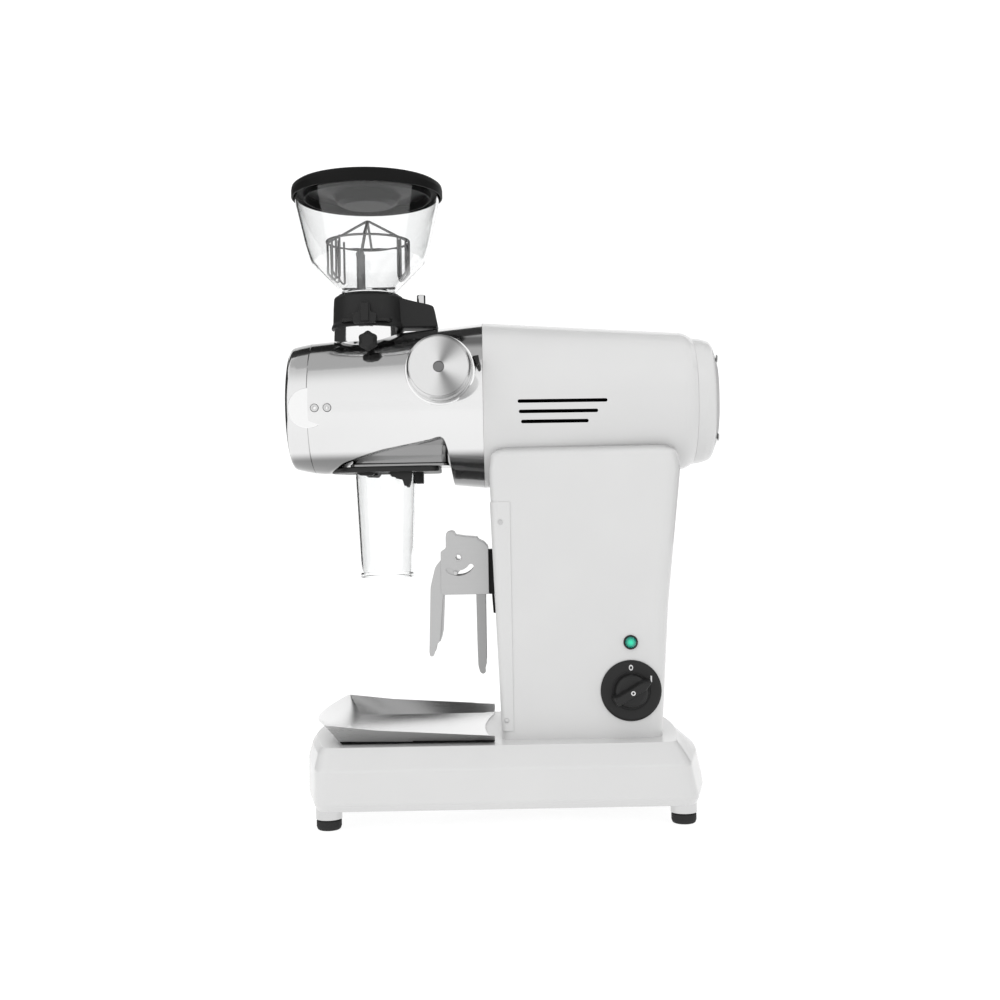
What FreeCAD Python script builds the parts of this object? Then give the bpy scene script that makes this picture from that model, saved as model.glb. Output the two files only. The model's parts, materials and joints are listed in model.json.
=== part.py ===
import FreeCAD, Part
import math
import os
import re
import Sketcher

# Burr coffee grinder with a horizontal burr set, in millimetres.
# +Z is up, the front (burr chamber and spout) faces -Y, the switch and the grind knob are on +X.
# The origin is on the floor, under the middle of the machine.

doc = FreeCAD.newDocument("CoffeeGrinder")

drivers = {
    # frame
    "shaftZ": 397.4,
    "seatTop": 75.5,
    "baseBottom": 19,
    # base casting
    "baseHalf": 120,
    "baseReach": 174,
    "baseSweep": 380,
    "baseWall": 5,
    "plateZ": 21,
    # feet
    "footX": 96,
    "footFront": -164.4,
    "footRear": 163.6,
    "footRadius": 12.25,
    "padHeight": 10,
    # column and motor housing
    "cheekHalf": 77,
    "columnFoot": -2,
    "columnHead": -11.7,
    "columnRearFoot": 149.5,
    "columnRearHead": 173,
    "cheekTop": 344,
    "castingWall": 4,
    "coverGauge": 1.5,
    "coverLow": 84,
    "coverHigh": 300,
    "coverWrap": 8,
    "seamRear": -15.6,
    "housingRadius": 82.3,
    "housingEnd": 189,
    "housingEndHalf": 74,
    "housingEndHeight": 66.8,
    "capHalf": 69.5,
    "capHeight": 61.5,
    "rearReach": 212,
    "ventHeight": 3.5,
    # grinding chamber
    "seamFront": -183.2,
    "chamberFrontRadius": 65,
    "webFront": -178,
    "feedFront": -169,
    "feedRear": -106,
    "feedRadius": 24,
    "burrBore": 48,
    "burrRear": -76,
    "quillRadius": 20,
    "bearingRadius": 16,
    "shaftRadius": 7.5,
    "runFit": 0.03,
    "outletFloor": 331.5,
    "frontReach": -212,
    # burrs
    "burrRadius": 41.5,
    "burrEye": 22,
    "fixedBurrDepth": 9,
    "burrGap": 1.0,
    "movingBurrDepth": 9,
    "carrierDepth": 7,
    # grind adjuster
    "knobY": -55.7,
    "knobZ": 425.3,
    "bossRadius": 33,
    "bossFace": 80,
    "knobRadius": 29.7,
    "knobFace": 110,
    "spindleRadius": 5,
    "camRadius": 6.5,
    "camRise": 0.35,
    # hopper column
    "hopperY": -129,
    "throatRadius": 22,
    "neckTop": 475.5,
    "collarTop": 510,
    "collarRadius": 35.5,
    "collarBore": 27,
    "armEnd": -59,
    "gateFloor": 479,
    "gateGauge": 2.9,
    "gateHalf": 24,
    "hopperWall": 2.2,
    "hopperRim": 611.5,
    "lidTop": 622,
    "lidRadius": 75.6,
    "guardWire": 1.2,
    "guardRadius": 41,
    "guardZ": 564,
    "guardApex": 587,
    "guardFoot": 530.8,
    "guardToe": 538,
    # spout
    "spoutY": -115,
    "spoutTop": 335.6,
    "spoutBottom": 227.6,
    "spoutMouth": 31,
    "spoutTip": 25.8,
    # bag clamp
    "clampHalf": 24,
    "pivotY": -43.3,
    "pivotZ": 246.5,
    "slotArc": 15.5,
    "guideY": -46.0,
    "guideZ": 231.24,
    # tray
    "trayGauge": 1.2,
    "trayHalf": 86,
    "trayFront": -153,
    "trayRear": -10,
    "trayRimHalf": 103,
    "trayRimFront": -167,
    "trayRimZ": 97,
    # switch and pilot
    "switchY": 119.1,
    "switchZ": 120,
    "switchRadius": 28.75,
    "pilotY": 119.5,
    "pilotZ": 165.5,
    "pilotRadius": 6.8,
}

dims = doc.addObject("Spreadsheet::Sheet", "Dims")
for row, (alias, number) in enumerate(drivers.items(), start=1):
    dims.set(f"A{row}", alias)
    dims.set(f"B{row}", str(number))
    dims.setAlias(f"B{row}", alias)
doc.recompute()

nodes = {}


# An expression in driver names becomes one that reads the sheet.
def bound(text):
    def cell(match):
        word = match.group(0)
        return f"Dims.{word}" if word in drivers else word
    return re.sub(r"[A-Za-z_]\w*", cell, str(text))


def value(text):
    return float(dims.evalExpression(bound(text)))


def bind(thing, prop, text):
    thing.setExpression(prop, bound(text))


def node(label, thing):
    thing.Label = label
    nodes[label] = thing
    return thing


turns = {
    "Z": FreeCAD.Rotation(),
    "X": FreeCAD.Rotation(FreeCAD.Vector(0, 1, 0), 90),
    "Y": FreeCAD.Rotation(FreeCAD.Vector(1, 0, 0), -90),
}


def place(thing, x, y, z, rotation=turns["Z"]):
    thing.Placement = FreeCAD.Placement(FreeCAD.Vector(), rotation)
    for letter, text in zip("xyz", (x, y, z)):
        bind(thing, f"Placement.Base.{letter}", text)
    return thing


# ---- sketches and features of a body ----

def newBody(label, x=0, y=0, z=0, isNode=True):
    body = doc.addObject("PartDesign::Body", "Body")
    place(body, x, y, z)
    if isNode:
        return node(label, body)
    body.Label = label
    return body


def newSketch(body, role, offset=0):
    sketch = body.newObject("Sketcher::SketchObject", "Sketch")
    origin = next(f for f in body.Origin.OriginFeatures if f.Role == role)
    sketch.AttachmentSupport = [(origin, "")]
    sketch.MapMode = "FlatFace"
    sign = "-1" if role == "XZ_Plane" else "1"
    bind(sketch, "AttachmentOffset.Base.z", f"{sign} * ({offset})")
    return sketch


def driven(sketch, kind, geometry, spot, text):
    number = value(text)
    if spot is None:
        index = sketch.addConstraint(Sketcher.Constraint(kind, geometry, number))
    elif abs(number) < 1e-9:
        axis = -2 if kind == "DistanceX" else -1
        sketch.addConstraint(Sketcher.Constraint("PointOnObject", geometry, spot, axis))
        return
    else:
        index = sketch.addConstraint(Sketcher.Constraint(kind, -1, 1, geometry, spot, number))
    name = f"size{index}"
    sketch.renameConstraint(index, name)
    bind(sketch, f"Constraints.{name}", text)


# A closed outline. Each corner is (x, y), or (x, y, radius) where it is rounded.
def drawOutline(sketch, corners):
    count = len(corners)
    spots = [FreeCAD.Vector(value(c[0]), value(c[1]), 0) for c in corners]
    arrive = []
    leave = []
    arcs = {}
    forward = {}
    for i, spot in enumerate(spots):
        radius = value(corners[i][2]) if len(corners[i]) > 2 else 0
        if not radius:
            arrive.append(spot)
            leave.append(spot)
            continue
        back = (spots[i - 1] - spot).normalize()
        ahead = (spots[(i + 1) % count] - spot).normalize()
        half = back.getAngle(ahead) / 2
        reach = radius / math.tan(half)
        centre = spot + (back + ahead).normalize() * (radius / math.sin(half))
        arrive.append(spot + back * reach)
        leave.append(spot + ahead * reach)
        inward = arrive[i] - centre
        outward = leave[i] - centre
        forward[i] = inward.cross(outward).z > 0
        start, end = (inward, outward) if forward[i] else (outward, inward)
        circle = Part.Circle(centre, FreeCAD.Vector(0, 0, 1), radius)
        first = math.atan2(start.y, start.x)
        last = first + start.getAngle(end)
        arcs[i] = Part.ArcOfCircle(circle, first, last)
    for i in range(count):
        sketch.addGeometry(Part.LineSegment(leave[i], arrive[(i + 1) % count]))
    for i, corner in enumerate(corners):
        before = (i - 1) % count
        if i not in arcs:
            sketch.addConstraint(Sketcher.Constraint("Coincident", before, 2, i, 1))
            driven(sketch, "DistanceX", i, 1, corner[0])
            driven(sketch, "DistanceY", i, 1, corner[1])
            continue
        arc = sketch.addGeometry(arcs[i])
        point = sketch.addGeometry(Part.Point(spots[i]), True)
        enter, leaveEnd = (1, 2) if forward[i] else (2, 1)
        sketch.addConstraint(Sketcher.Constraint("Tangent", before, 2, arc, enter))
        sketch.addConstraint(Sketcher.Constraint("Tangent", arc, leaveEnd, i, 1))
        driven(sketch, "Radius", arc, None, corner[2])
        sketch.addConstraint(Sketcher.Constraint("PointOnObject", point, 1, before))
        sketch.addConstraint(Sketcher.Constraint("PointOnObject", point, 1, i))
        driven(sketch, "DistanceX", point, 1, corner[0])
        driven(sketch, "DistanceY", point, 1, corner[1])


def drawCircles(sketch, circles):
    for x, y, radius in circles:
        centre = FreeCAD.Vector(value(x), value(y), 0)
        circle = sketch.addGeometry(Part.Circle(centre, FreeCAD.Vector(0, 0, 1), value(radius)))
        driven(sketch, "DistanceX", circle, 3, x)
        driven(sketch, "DistanceY", circle, 3, y)
        driven(sketch, "Radius", circle, None, radius)


# A turned shape: the outline is (along the axis, radius), or (radius, height) about Z.
def revolve(body, axis, corners, cut=False):
    role = {"X": "XY_Plane", "Y": "YZ_Plane", "Z": "XZ_Plane"}[axis]
    sketch = newSketch(body, role)
    drawOutline(sketch, corners)
    feature = body.newObject("PartDesign::Groove" if cut else "PartDesign::Revolution", "Turn")
    feature.Profile = sketch
    feature.ReferenceAxis = (sketch, ["V_Axis" if axis == "Z" else "H_Axis"])
    feature.Angle = 360
    return feature


# A straight shape between two planes across the sketch's normal.
def extrude(body, role, low, high, corners=None, circles=None, cut=False):
    sketch = newSketch(body, role, f"(({low}) + ({high})) / 2")
    if corners:
        drawOutline(sketch, corners)
    if circles:
        drawCircles(sketch, circles)
    feature = body.newObject("PartDesign::Pocket" if cut else "PartDesign::Pad", "Extrusion")
    feature.Profile = sketch
    feature.SideType = "Symmetric"
    bind(feature, "Length", f"({high}) - ({low})")
    return feature


# A shape with straight sides between outlines, each given as (place along the normal, corners).
def loft(body, role, sections, cut=False):
    sketches = []
    for place_, corners in sections:
        sketch = newSketch(body, role, place_)
        drawOutline(sketch, corners)
        sketches.append(sketch)
    feature = body.newObject("PartDesign::SubtractiveLoft" if cut else "PartDesign::AdditiveLoft", "Loft")
    feature.Profile = sketches[0]
    feature.Sections = sketches[1:]
    feature.Ruled = True
    return feature


def roundEdges(body, feature, radius, chosen):
    doc.recompute()
    names = [f"Edge{i}" for i, edge in enumerate(feature.Shape.Edges, start=1) if chosen(edge)]
    fillet = body.newObject("PartDesign::Fillet", "Fillet")
    fillet.Base = (feature, names)
    bind(fillet, "Radius", radius)
    return fillet


# Repeats a feature about an axis of its body.
def polar(body, feature, role, count):
    pattern = body.newObject("PartDesign::PolarPattern", "Pattern")
    pattern.Originals = [feature]
    pattern.Axis = (next(f for f in body.Origin.OriginFeatures if f.Role == role), [""])
    pattern.Angle = 360
    pattern.Occurrences = count
    body.Tip = pattern
    return pattern


def rectangle(left, right, low, high, radius=0):
    corners = [(left, low), (right, low), (right, high), (left, high)]
    return [corner + (radius,) for corner in corners] if radius else corners


# A plan outline about X = 0 whose front edge bows forward, and its rear edge too where asked.
def bowedPlan(half, front, rear, radius, frontBow, rearBow=0, sweep="baseSweep"):
    corners = [(f"-({half})", front, radius), (0, f"({front}) - ({frontBow})", sweep), (half, front, radius)]
    corners.append((half, rear, radius))
    if rearBow:
        corners.append((0, f"({rear}) + ({rearBow})", sweep))
    corners.append((f"-({half})", rear, radius))
    return corners


# ---- primitives ----

def cylinder(radius, length, x, y, z, axis="Z"):
    solid = doc.addObject("Part::Cylinder", "Cylinder")
    bind(solid, "Radius", radius)
    bind(solid, "Height", length)
    return place(solid, x, y, z, turns[axis])


def box(x0, x1, y0, y1, z0, z1):
    solid = doc.addObject("Part::Box", "Box")
    bind(solid, "Length", f"({x1}) - ({x0})")
    bind(solid, "Width", f"({y1}) - ({y0})")
    bind(solid, "Height", f"({z1}) - ({z0})")
    return place(solid, x0, y0, z0)


def cutAway(base, tool):
    result = doc.addObject("Part::Cut", "Cut")
    result.Base = base
    result.Tool = tool
    return result


def fuse(*solids):
    result = doc.addObject("Part::MultiFuse", "Fusion")
    result.Shapes = list(solids)
    return result


def group(label, solids):
    result = doc.addObject("Part::Compound", "Group")
    result.Links = solids
    return node(label, result)


def ring(outer, inner, length, x, y, z, axis="Z"):
    return cutAway(cylinder(outer, length, x, y, z, axis), cylinder(inner, length, x, y, z, axis))


# ---- base and feet ----

footSpots = [(f"{side} * footX", rank) for side in (-1, 1) for rank in ("footFront", "footRear")]
boltSpots = [(side * 66, y) for side in (-1, 1) for y in (15, 130)]

base = newBody("base_casting")
loft(base, "XY_Plane", [
    ("baseBottom", bowedPlan("baseHalf - 3.5", "-baseReach + 1", "baseReach - 1", 14, 25.8, 25.8)),
    ("baseBottom + 8", bowedPlan("baseHalf", "-baseReach", "baseReach", 16, 26.6, 26.6)),
    (57, bowedPlan("baseHalf - 1.5", "-baseReach", "baseReach - 6", 16, 26.2, 26.2)),
    (70, bowedPlan("baseHalf - 12.5", "-baseReach + 2", "baseReach - 12.5", 14, 23.8, 14)),
    ("seatTop", bowedPlan("baseHalf - 17.5", "-baseReach + 5", "baseReach - 16", 12, 22.8, 12)),
])
loft(base, "XY_Plane", [
    (14, bowedPlan("baseHalf - 10", "-baseReach + 8", "baseReach - 8", 10, 24.4, 24.4)),
    (52, bowedPlan("baseHalf - 8", "-baseReach + 7", "baseReach - 12", 10, 24.8, 24.8)),
    (69, bowedPlan("baseHalf - 21", "-baseReach + 9", "baseReach - 21", 8, 22, 12)),
], cut=True)
extrude(base, "XY_Plane", "plateZ + 1.5", 54, circles=[(x, y, 9.5) for x, y in footSpots])
extrude(base, "XY_Plane", "plateZ", 50, circles=[(x, y, 4) for x, y in footSpots], cut=True)
extrude(base, "XY_Plane", 14, "plateZ", circles=[(x, y, "footRadius") for x, y in footSpots], cut=True)
extrude(base, "XY_Plane", 68, 77, circles=[(x, y, 4) for x, y in boltSpots], cut=True)
extrude(base, "XY_Plane", 68, 77, rectangle(-45, 45, 30, 115, 6), cut=True)

plate = newBody("base_plate")
extrude(plate, "XY_Plane", "plateZ", "plateZ + 1.5",
        bowedPlan("baseHalf - 11", "-baseReach + 9", "baseReach - 10.5", 9.5, 24.2, 24.2))
extrude(plate, "XY_Plane", "plateZ - 1", "plateZ + 3",
        circles=[(x, y, 4) for x, y in footSpots] + [(0, 150, 8)], cut=True)
slots = [rectangle(-40, 40, f"{y}", f"{y} + 4", 1.8) for y in (-70, -58, -46, -34)]
for slot in slots:
    extrude(plate, "XY_Plane", "plateZ - 1", "plateZ + 3", slot, cut=True)

ferrules = []
pads = []
for x, y in footSpots:
    sleeve = cylinder("footRadius", "plateZ - padHeight", x, y, "padHeight")
    stud = cylinder(4, 24, x, y, "plateZ")
    ferrules.append(fuse(sleeve, stud))
    cup = doc.addObject("Part::Cone", "Pad")
    bind(cup, "Radius1", "footRadius - 1.2")
    bind(cup, "Radius2", "footRadius - 0.4")
    bind(cup, "Height", "padHeight")
    pads.append(place(cup, x, y, 0))
group("foot_ferrules", ferrules)
group("foot_pads", pads)

gland = newBody("cable_gland", 0, 150, "plateZ")
revolve(gland, "Z", [(4.5, -4), (11, -4, 1), (11, 0), (8, 0), (8, 10), (4.5, 10)])

# ---- column and motor housing, one casting ----

def columnPlan(half, front, rear, frontRadius, rearRadius):
    return [(f"-({half})", front, frontRadius), (half, front, frontRadius),
            (half, rear, rearRadius), (f"-({half})", rear, rearRadius)]


def columnSections(grow):
    return [
        ("seatTop", columnPlan(f"cheekHalf + {grow}", f"columnFoot - {grow}", "columnRearFoot", 8, 14)),
        ("cheekTop", columnPlan(f"cheekHalf + {grow}", f"columnHead - {grow}", "columnRearHead", 8, 14)),
    ]


casting = newBody("body_casting")
loft(casting, "XY_Plane", columnSections(0) + [
    (351, columnPlan("cheekHalf - 6", "columnHead + 4", "columnRearHead - 8", 8, 14))])
loft(casting, "XZ_Plane", [
    ("seamRear", rectangle("-housingRadius", "housingRadius", "shaftZ - housingRadius",
                           "shaftZ + housingRadius", "housingRadius - 0.3")),
    ("housingEnd", rectangle("-housingEndHalf", "housingEndHalf", "shaftZ - housingEndHeight",
                             "shaftZ + housingEndHeight", 60)),
])
loft(casting, "XY_Plane", [
    ("seatTop - 1", columnPlan("cheekHalf - castingWall", "columnFoot + castingWall",
                               "columnRearFoot - castingWall", 5, 10)),
    (338, columnPlan("cheekHalf - castingWall", "columnHead + castingWall",
                     "columnRearHead - castingWall", 5, 10)),
], cut=True)
loft(casting, "XZ_Plane", [
    ("seamRear + 6", rectangle("-housingRadius + castingWall", "housingRadius - castingWall",
                               "shaftZ - housingRadius + castingWall",
                               "shaftZ + housingRadius - castingWall", 77)),
    ("housingEnd + 1", rectangle("-housingEndHalf + castingWall", "housingEndHalf - castingWall",
                                 "shaftZ - housingEndHeight + castingWall",
                                 "shaftZ + housingEndHeight - castingWall", 56)),
], cut=True)
extrude(casting, "XZ_Plane", -20, 4, rectangle(-50, 50, 100, 285, 6), cut=True)
ventRows = [(394.5, 17, 102), (384.8, 18, 93), (375.4, 20, 84)]
for z, y0, y1 in ventRows:
    row = rectangle(y0, y1, f"{z} - ventHeight / 2", f"{z} + ventHeight / 2", "ventHeight * 0.49")
    extrude(casting, "YZ_Plane", -95, 95, row, cut=True)
extrude(casting, "YZ_Plane", 60, 90,
        circles=[("switchY", "switchZ", 14), ("pilotY", "pilotZ", "pilotRadius - 0.8")], cut=True)
extrude(casting, "XZ_Plane", "seamRear - 1", "seamRear + 7", circles=[(0, "shaftZ", 24)], cut=True)
extrude(casting, "XY_Plane", "seatTop", 95, circles=[(x, y, 9) for x, y in boltSpots])
extrude(casting, "XY_Plane", "seatTop - 1", 92, circles=[(x, y, 4) for x, y in boltSpots], cut=True)

boltCircle = 72
chamberBolts = [(f"{boltCircle * math.cos(turn):.3f}", f"{boltCircle * math.sin(turn):.3f}")
                for turn in (math.radians(45 + 90 * k) for k in range(4))]
extrude(casting, "XZ_Plane", "seamRear - 1", "seamRear + 7",
        circles=[(x, f"shaftZ + {z}", 3) for x, z in chamberBolts], cut=True)

bolts = []
for x, y in boltSpots:
    head = cylinder(6.5, 6, x, y, 63)
    shank = cylinder(4, 22, x, y, 69)
    bolts.append(fuse(head, shank))
group("column_bolts", bolts)

cover = newBody("column_cover")
loft(cover, "XY_Plane", columnSections("coverGauge"))
loft(cover, "XY_Plane", columnSections(0), cut=True)
extrude(cover, "YZ_Plane", -100, 100, [
    (-60, 60), (250, 60), (250, 400), (-60, 400), (-60, "coverHigh"),
    ("coverWrap", "coverHigh"), ("coverWrap", "coverLow"), (-60, "coverLow")], cut=True)

coverScrews = []
for side in (-1, 1):
    for z in (97, 287):
        start = "cheekHalf - castingWall" if side > 0 else "-cheekHalf - coverGauge - 1.2"
        coverScrews.append(cylinder(2.6, "castingWall + coverGauge + 1.2", start, 2.5, z, "X"))
coverHoles = [(2.5, z, 2.6) for z in (97, 287)]
extrude(cover, "YZ_Plane", -100, 100, circles=coverHoles, cut=True)
extrude(casting, "YZ_Plane", -100, 100, circles=coverHoles, cut=True)
group("cover_screws", coverScrews)

cap = newBody("rear_cap")
shell = extrude(cap, "XZ_Plane", "housingEnd", "rearReach",
                rectangle("-capHalf", "capHalf", "shaftZ - capHeight", "shaftZ + capHeight", 56))
roundEdges(cap, shell, 15, lambda edge: edge.BoundBox.YMin > value("rearReach") - 0.01)
extrude(cap, "XZ_Plane", "housingEnd - 1", "rearReach - 5",
        rectangle("-capHalf + 9", "capHalf - 9", "shaftZ - capHeight + 9", "shaftZ + capHeight - 9", 46),
        cut=True)
capScrewSpots = [(x * 46, f"shaftZ + {z * 38}") for x in (-1, 1) for z in (-1, 1)]
extrude(cap, "XZ_Plane", "rearReach - 2", "rearReach + 1",
        circles=[(x, z, 4.2) for x, z in capScrewSpots], cut=True)
capScrews = [cylinder(4.1, 1.6, x, "rearReach - 2", z, "Y") for x, z in capScrewSpots]
group("cap_screws", capScrews)

# ---- grinding chamber, a cone about the shaft axis ----

chamber = newBody("grinding_chamber", 0, 0, "shaftZ")
revolve(chamber, "Y", [("seamFront", 0), ("seamFront", "chamberFrontRadius"),
                       ("seamRear - 0.4", "housingRadius"), ("seamRear", "housingRadius - 0.6"),
                       ("seamRear", 0)])
# The underside is cut back ahead of the rear flange, and the outlet block stands in the cut.
extrude(chamber, "YZ_Plane", -90, 90, [
    (-167, -68.3), (-149, -59.6, 40), (-116.5, -47.9, 60), (-71, -36.1, 30), (-56, -33, 6), (-50, -50, 12),
    (-44.5, -82), (-43, -92), (-167, -92)], cut=True)
extrude(chamber, "XY_Plane", "outletFloor + 5.5 - shaftZ", -32, rectangle(-42, 42, -148, -52, 10))
extrude(chamber, "XY_Plane", -75, "outletFloor + 5.5 - shaftZ",
        rectangle(-44.2, 44.2, -149.2, -56.8, 22), cut=True)
extrude(chamber, "YZ_Plane", 30, "bossFace", circles=[("knobY", "knobZ - shaftZ", "bossRadius")])
extrude(chamber, "XY_Plane", 30, 60, circles=[(0, "hopperY", 38)])
revolve(chamber, "Y", [("seamFront - 1", 0), ("seamFront - 1", 57), ("webFront", 57), ("webFront", 24),
                       ("webFront - 3", 24), ("webFront - 3", 0)], cut=True)
extrude(chamber, "XZ_Plane", "webFront - 4", "webFront + 8", circles=[(0, 0, "bearingRadius")], cut=True)
extrude(chamber, "XZ_Plane", "webFront + 5", "burrRear + 6", circles=[(0, 0, 10)], cut=True)
extrude(chamber, "XZ_Plane", "feedFront", "feedRear + 1", circles=[(0, 0, "feedRadius")], cut=True)
extrude(chamber, "XZ_Plane", "feedRear", "burrRear", circles=[(0, 0, "burrBore")], cut=True)
extrude(chamber, "XZ_Plane", "burrRear - 1", "seamRear + 1", circles=[(0, 0, "quillRadius")], cut=True)
revolve(chamber, "Y", [(-48, 28), (-48, 62, 4), (-40, 66), ("seamRear + 1", 66), ("seamRear + 1", 28)],
        cut=True)
extrude(chamber, "XY_Plane", 0, 60, circles=[(0, "hopperY", "throatRadius")], cut=True)
extrude(chamber, "XY_Plane", "450 - shaftZ", 90, circles=[(0, "hopperY", 33)], cut=True)
extrude(chamber, "XY_Plane", "461.9 - shaftZ", 90, circles=[(0, "hopperY", 37.5)], cut=True)
extrude(chamber, "XY_Plane", "outletFloor - shaftZ", -30, rectangle(-20, 20, -135, -80, 6), cut=True)
# The pocket that holds the cam on top of the quill, and the spindle's bore to it.
extrude(chamber, "XY_Plane", 12, 38, rectangle(-7, 7, -64, -36), cut=True)
extrude(chamber, "YZ_Plane", 5, "bossFace + 1",
        circles=[("knobY", "knobZ - shaftZ", "spindleRadius + runFit")], cut=True)
screwRanks = (-176.8, -164.7)
for low, high in ((62.4, 90), (-90, -62.4)):
    extrude(chamber, "YZ_Plane", low, high, circles=[(y, -4.4, 4.6) for y in screwRanks], cut=True)
for low, high in ((59, 63), (-63, -59)):
    extrude(chamber, "YZ_Plane", low, high, circles=[(y, -4.4, 2.5) for y in screwRanks], cut=True)
extrude(chamber, "XZ_Plane", "seamRear - 12", "seamRear + 1",
        circles=[(x, z, 3) for x, z in chamberBolts], cut=True)
extrude(chamber, "YZ_Plane", 33, 60, circles=[(-125, "457 - shaftZ", 4.05)], cut=True)

screws = []
for side in (-1, 1):
    for y in screwRanks:
        head = cylinder(4.2, 2.2, 62.4 if side > 0 else -64.6, y, "shaftZ - 4.4", "X")
        shank = cylinder(2.5, 3.4, 59 if side > 0 else -62.4, y, "shaftZ - 4.4", "X")
        socket = cylinder(1.6, 1.2, 63.4 if side > 0 else -64.6, y, "shaftZ - 4.4", "X")
        screws.append(cutAway(fuse(head, shank), socket))
group("chamber_screws", screws)

flangeBolts = []
for x, z in chamberBolts:
    shank = cylinder(3, 18, x, "seamRear - 12", f"shaftZ + {z}", "Y")
    head = cylinder(5.4, 5, x, "seamRear + 6", f"shaftZ + {z}", "Y")
    flangeBolts.append(fuse(shank, head))
group("flange_bolts", flangeBolts)

frontCap = newBody("front_cap", 0, 0, "shaftZ")
revolve(frontCap, "Y", [
    ("webFront", 57), ("webFront", 51), (-203, 49, 5), (-207.4, 30), (-208, 0), ("frontReach", 0),
    ("frontReach + 2", 34, 150), ("frontReach + 7", 60.5, 6), ("seamFront", "chamberFrontRadius - 0.05"),
    ("seamFront", 57)])
for low, high in ((62.3, 70), (-70, -62.3)):
    extrude(frontCap, "YZ_Plane", low, high, circles=[("seamFront", 0, 19.5)], cut=True)

# ---- motor ----

can = newBody("motor_can", 0, 0, "shaftZ")
revolve(can, "Y", [(-9.6, 24), (-9.6, 65), (-6, 65), (-6, 60), (150, 60), (150, 57), (-6, 57), (-6, 24)])
stator = newBody("stator_core", 0, 0, "shaftZ")
revolve(stator, "Y", rectangle(40, 110, 36, 57))
slot = extrude(stator, "XZ_Plane", 39, 111, circles=[(0, 42, 3)], cut=True)
polar(stator, slot, "Y_Axis", 12)
windings = [ring(54, 40, 14, 0, y, "shaftZ", "Y") for y in (26, 110)]
group("stator_windings", windings)
bell = newBody("motor_end_bell", 0, 0, "shaftZ")
revolve(bell, "Y", [(150, 10), (150, 60), (155, 60, 2), (157, 24), (163, 22), (163, 10)])
extrude(bell, "XZ_Plane", 149, 159, circles=[(0, 0, "bearingRadius")], cut=True)
node("rear_bearing", ring("bearingRadius", "shaftRadius + runFit", 9, 0, 150, "shaftZ", "Y"))
node("front_bearing", ring("bearingRadius", "shaftRadius + runFit", 8, 0, "webFront - 2", "shaftZ", "Y"))
rotor = newBody("rotor_core", 0, 0, "shaftZ")
revolve(rotor, "Y", rectangle(40, 110, "shaftRadius", 35.4))
shaft = newBody("main_shaft", 0, 0, "shaftZ")
revolve(shaft, "Y", [(-182, 0), (-182, "shaftRadius - 1"), (-181, "shaftRadius"), (176, "shaftRadius"),
                     (177, "shaftRadius - 1"), (177, 0)])
fan = newBody("cooling_fan", 0, 0, "shaftZ")
revolve(fan, "Y", [(166, "shaftRadius"), (166, 16), (168, 50), (169.5, 50), (169.5, 16), (176, 14),
                   (176, "shaftRadius")])
blade = extrude(fan, "XY_Plane", -0.8, 0.8, [(25, 160), (48, 160), (48, 168.5), (25, 168.5)])
polar(fan, blade, "Y_Axis", 8)

# ---- burrs, auger and quill ----

fixedBurr = newBody("fixed_burr", 0, 0, "shaftZ")
burrFace = "feedRear + fixedBurrDepth"
revolve(fixedBurr, "Y", [("feedRear", "burrEye"), ("feedRear", "burrRadius"), (burrFace, "burrRadius"),
                         (burrFace, "burrRadius - 5"), (f"{burrFace} - 5", "burrEye")])
tooth = extrude(fixedBurr, "YZ_Plane", -0.9, 0.9, [
    (f"{burrFace} - 1.4", 43), (f"{burrFace} + 1", 43), (f"{burrFace} + 1", 20), (f"{burrFace} - 6.5", 20)],
    cut=True)
polar(fixedBurr, tooth, "Y_Axis", 24)

movingFace = f"{burrFace} + burrGap"
movingRear = f"{movingFace} + movingBurrDepth"
movingBurr = newBody("moving_burr", 0, 0, "shaftZ")
revolve(movingBurr, "Y", [(f"{movingFace} + 5", "burrEye"), (movingFace, "burrRadius - 5"),
                          (movingFace, "burrRadius"), (movingRear, "burrRadius"), (movingRear, "burrEye")])
tooth = extrude(movingBurr, "YZ_Plane", -0.9, 0.9, [
    (f"{movingFace} - 1", 43), (f"{movingFace} + 1.4", 43), (f"{movingFace} + 6.5", 20),
    (f"{movingFace} - 1", 20)], cut=True)
polar(movingBurr, tooth, "Y_Axis", 24)

carrier = newBody("burr_carrier", 0, 0, "shaftZ")
revolve(carrier, "Y", [(f"{movingRear} - 6", "shaftRadius"), (f"{movingRear} - 6", "burrEye"),
                       (movingRear, "burrEye"), (movingRear, 43), (f"{movingRear} + carrierDepth", 43, 2),
                       (f"{movingRear} + carrierDepth", 13), ("burrRear - 0.5", 13),
                       ("burrRear - 0.5", "shaftRadius")])
sweeper = extrude(carrier, "XY_Plane", -3, 3, [
    (40, f"{movingRear} + 1"), (46.5, f"{movingRear} + 1"), (46.5, f"{movingRear} + 6"),
    (40, f"{movingRear} + 6")])
polar(carrier, sweeper, "Y_Axis", 4)

auger = newBody("feed_auger", 0, 0, "shaftZ")
revolve(auger, "Y", rectangle("feedFront + 3", f"{movingRear} - 6.5", "shaftRadius", 11))
flight = newSketch(auger, "YZ_Plane")
drawOutline(flight, [("feedFront + 5", 10), ("feedFront + 8", 10), ("feedFront + 7.3", 20.5),
                     ("feedFront + 5.7", 20.5)])
helix = auger.newObject("PartDesign::AdditiveHelix", "Flight")
helix.Profile = flight
helix.ReferenceAxis = (flight, ["H_Axis"])
helix.Mode = "pitch-height-angle"
helix.Pitch = 22
helix.Height = 52

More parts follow.
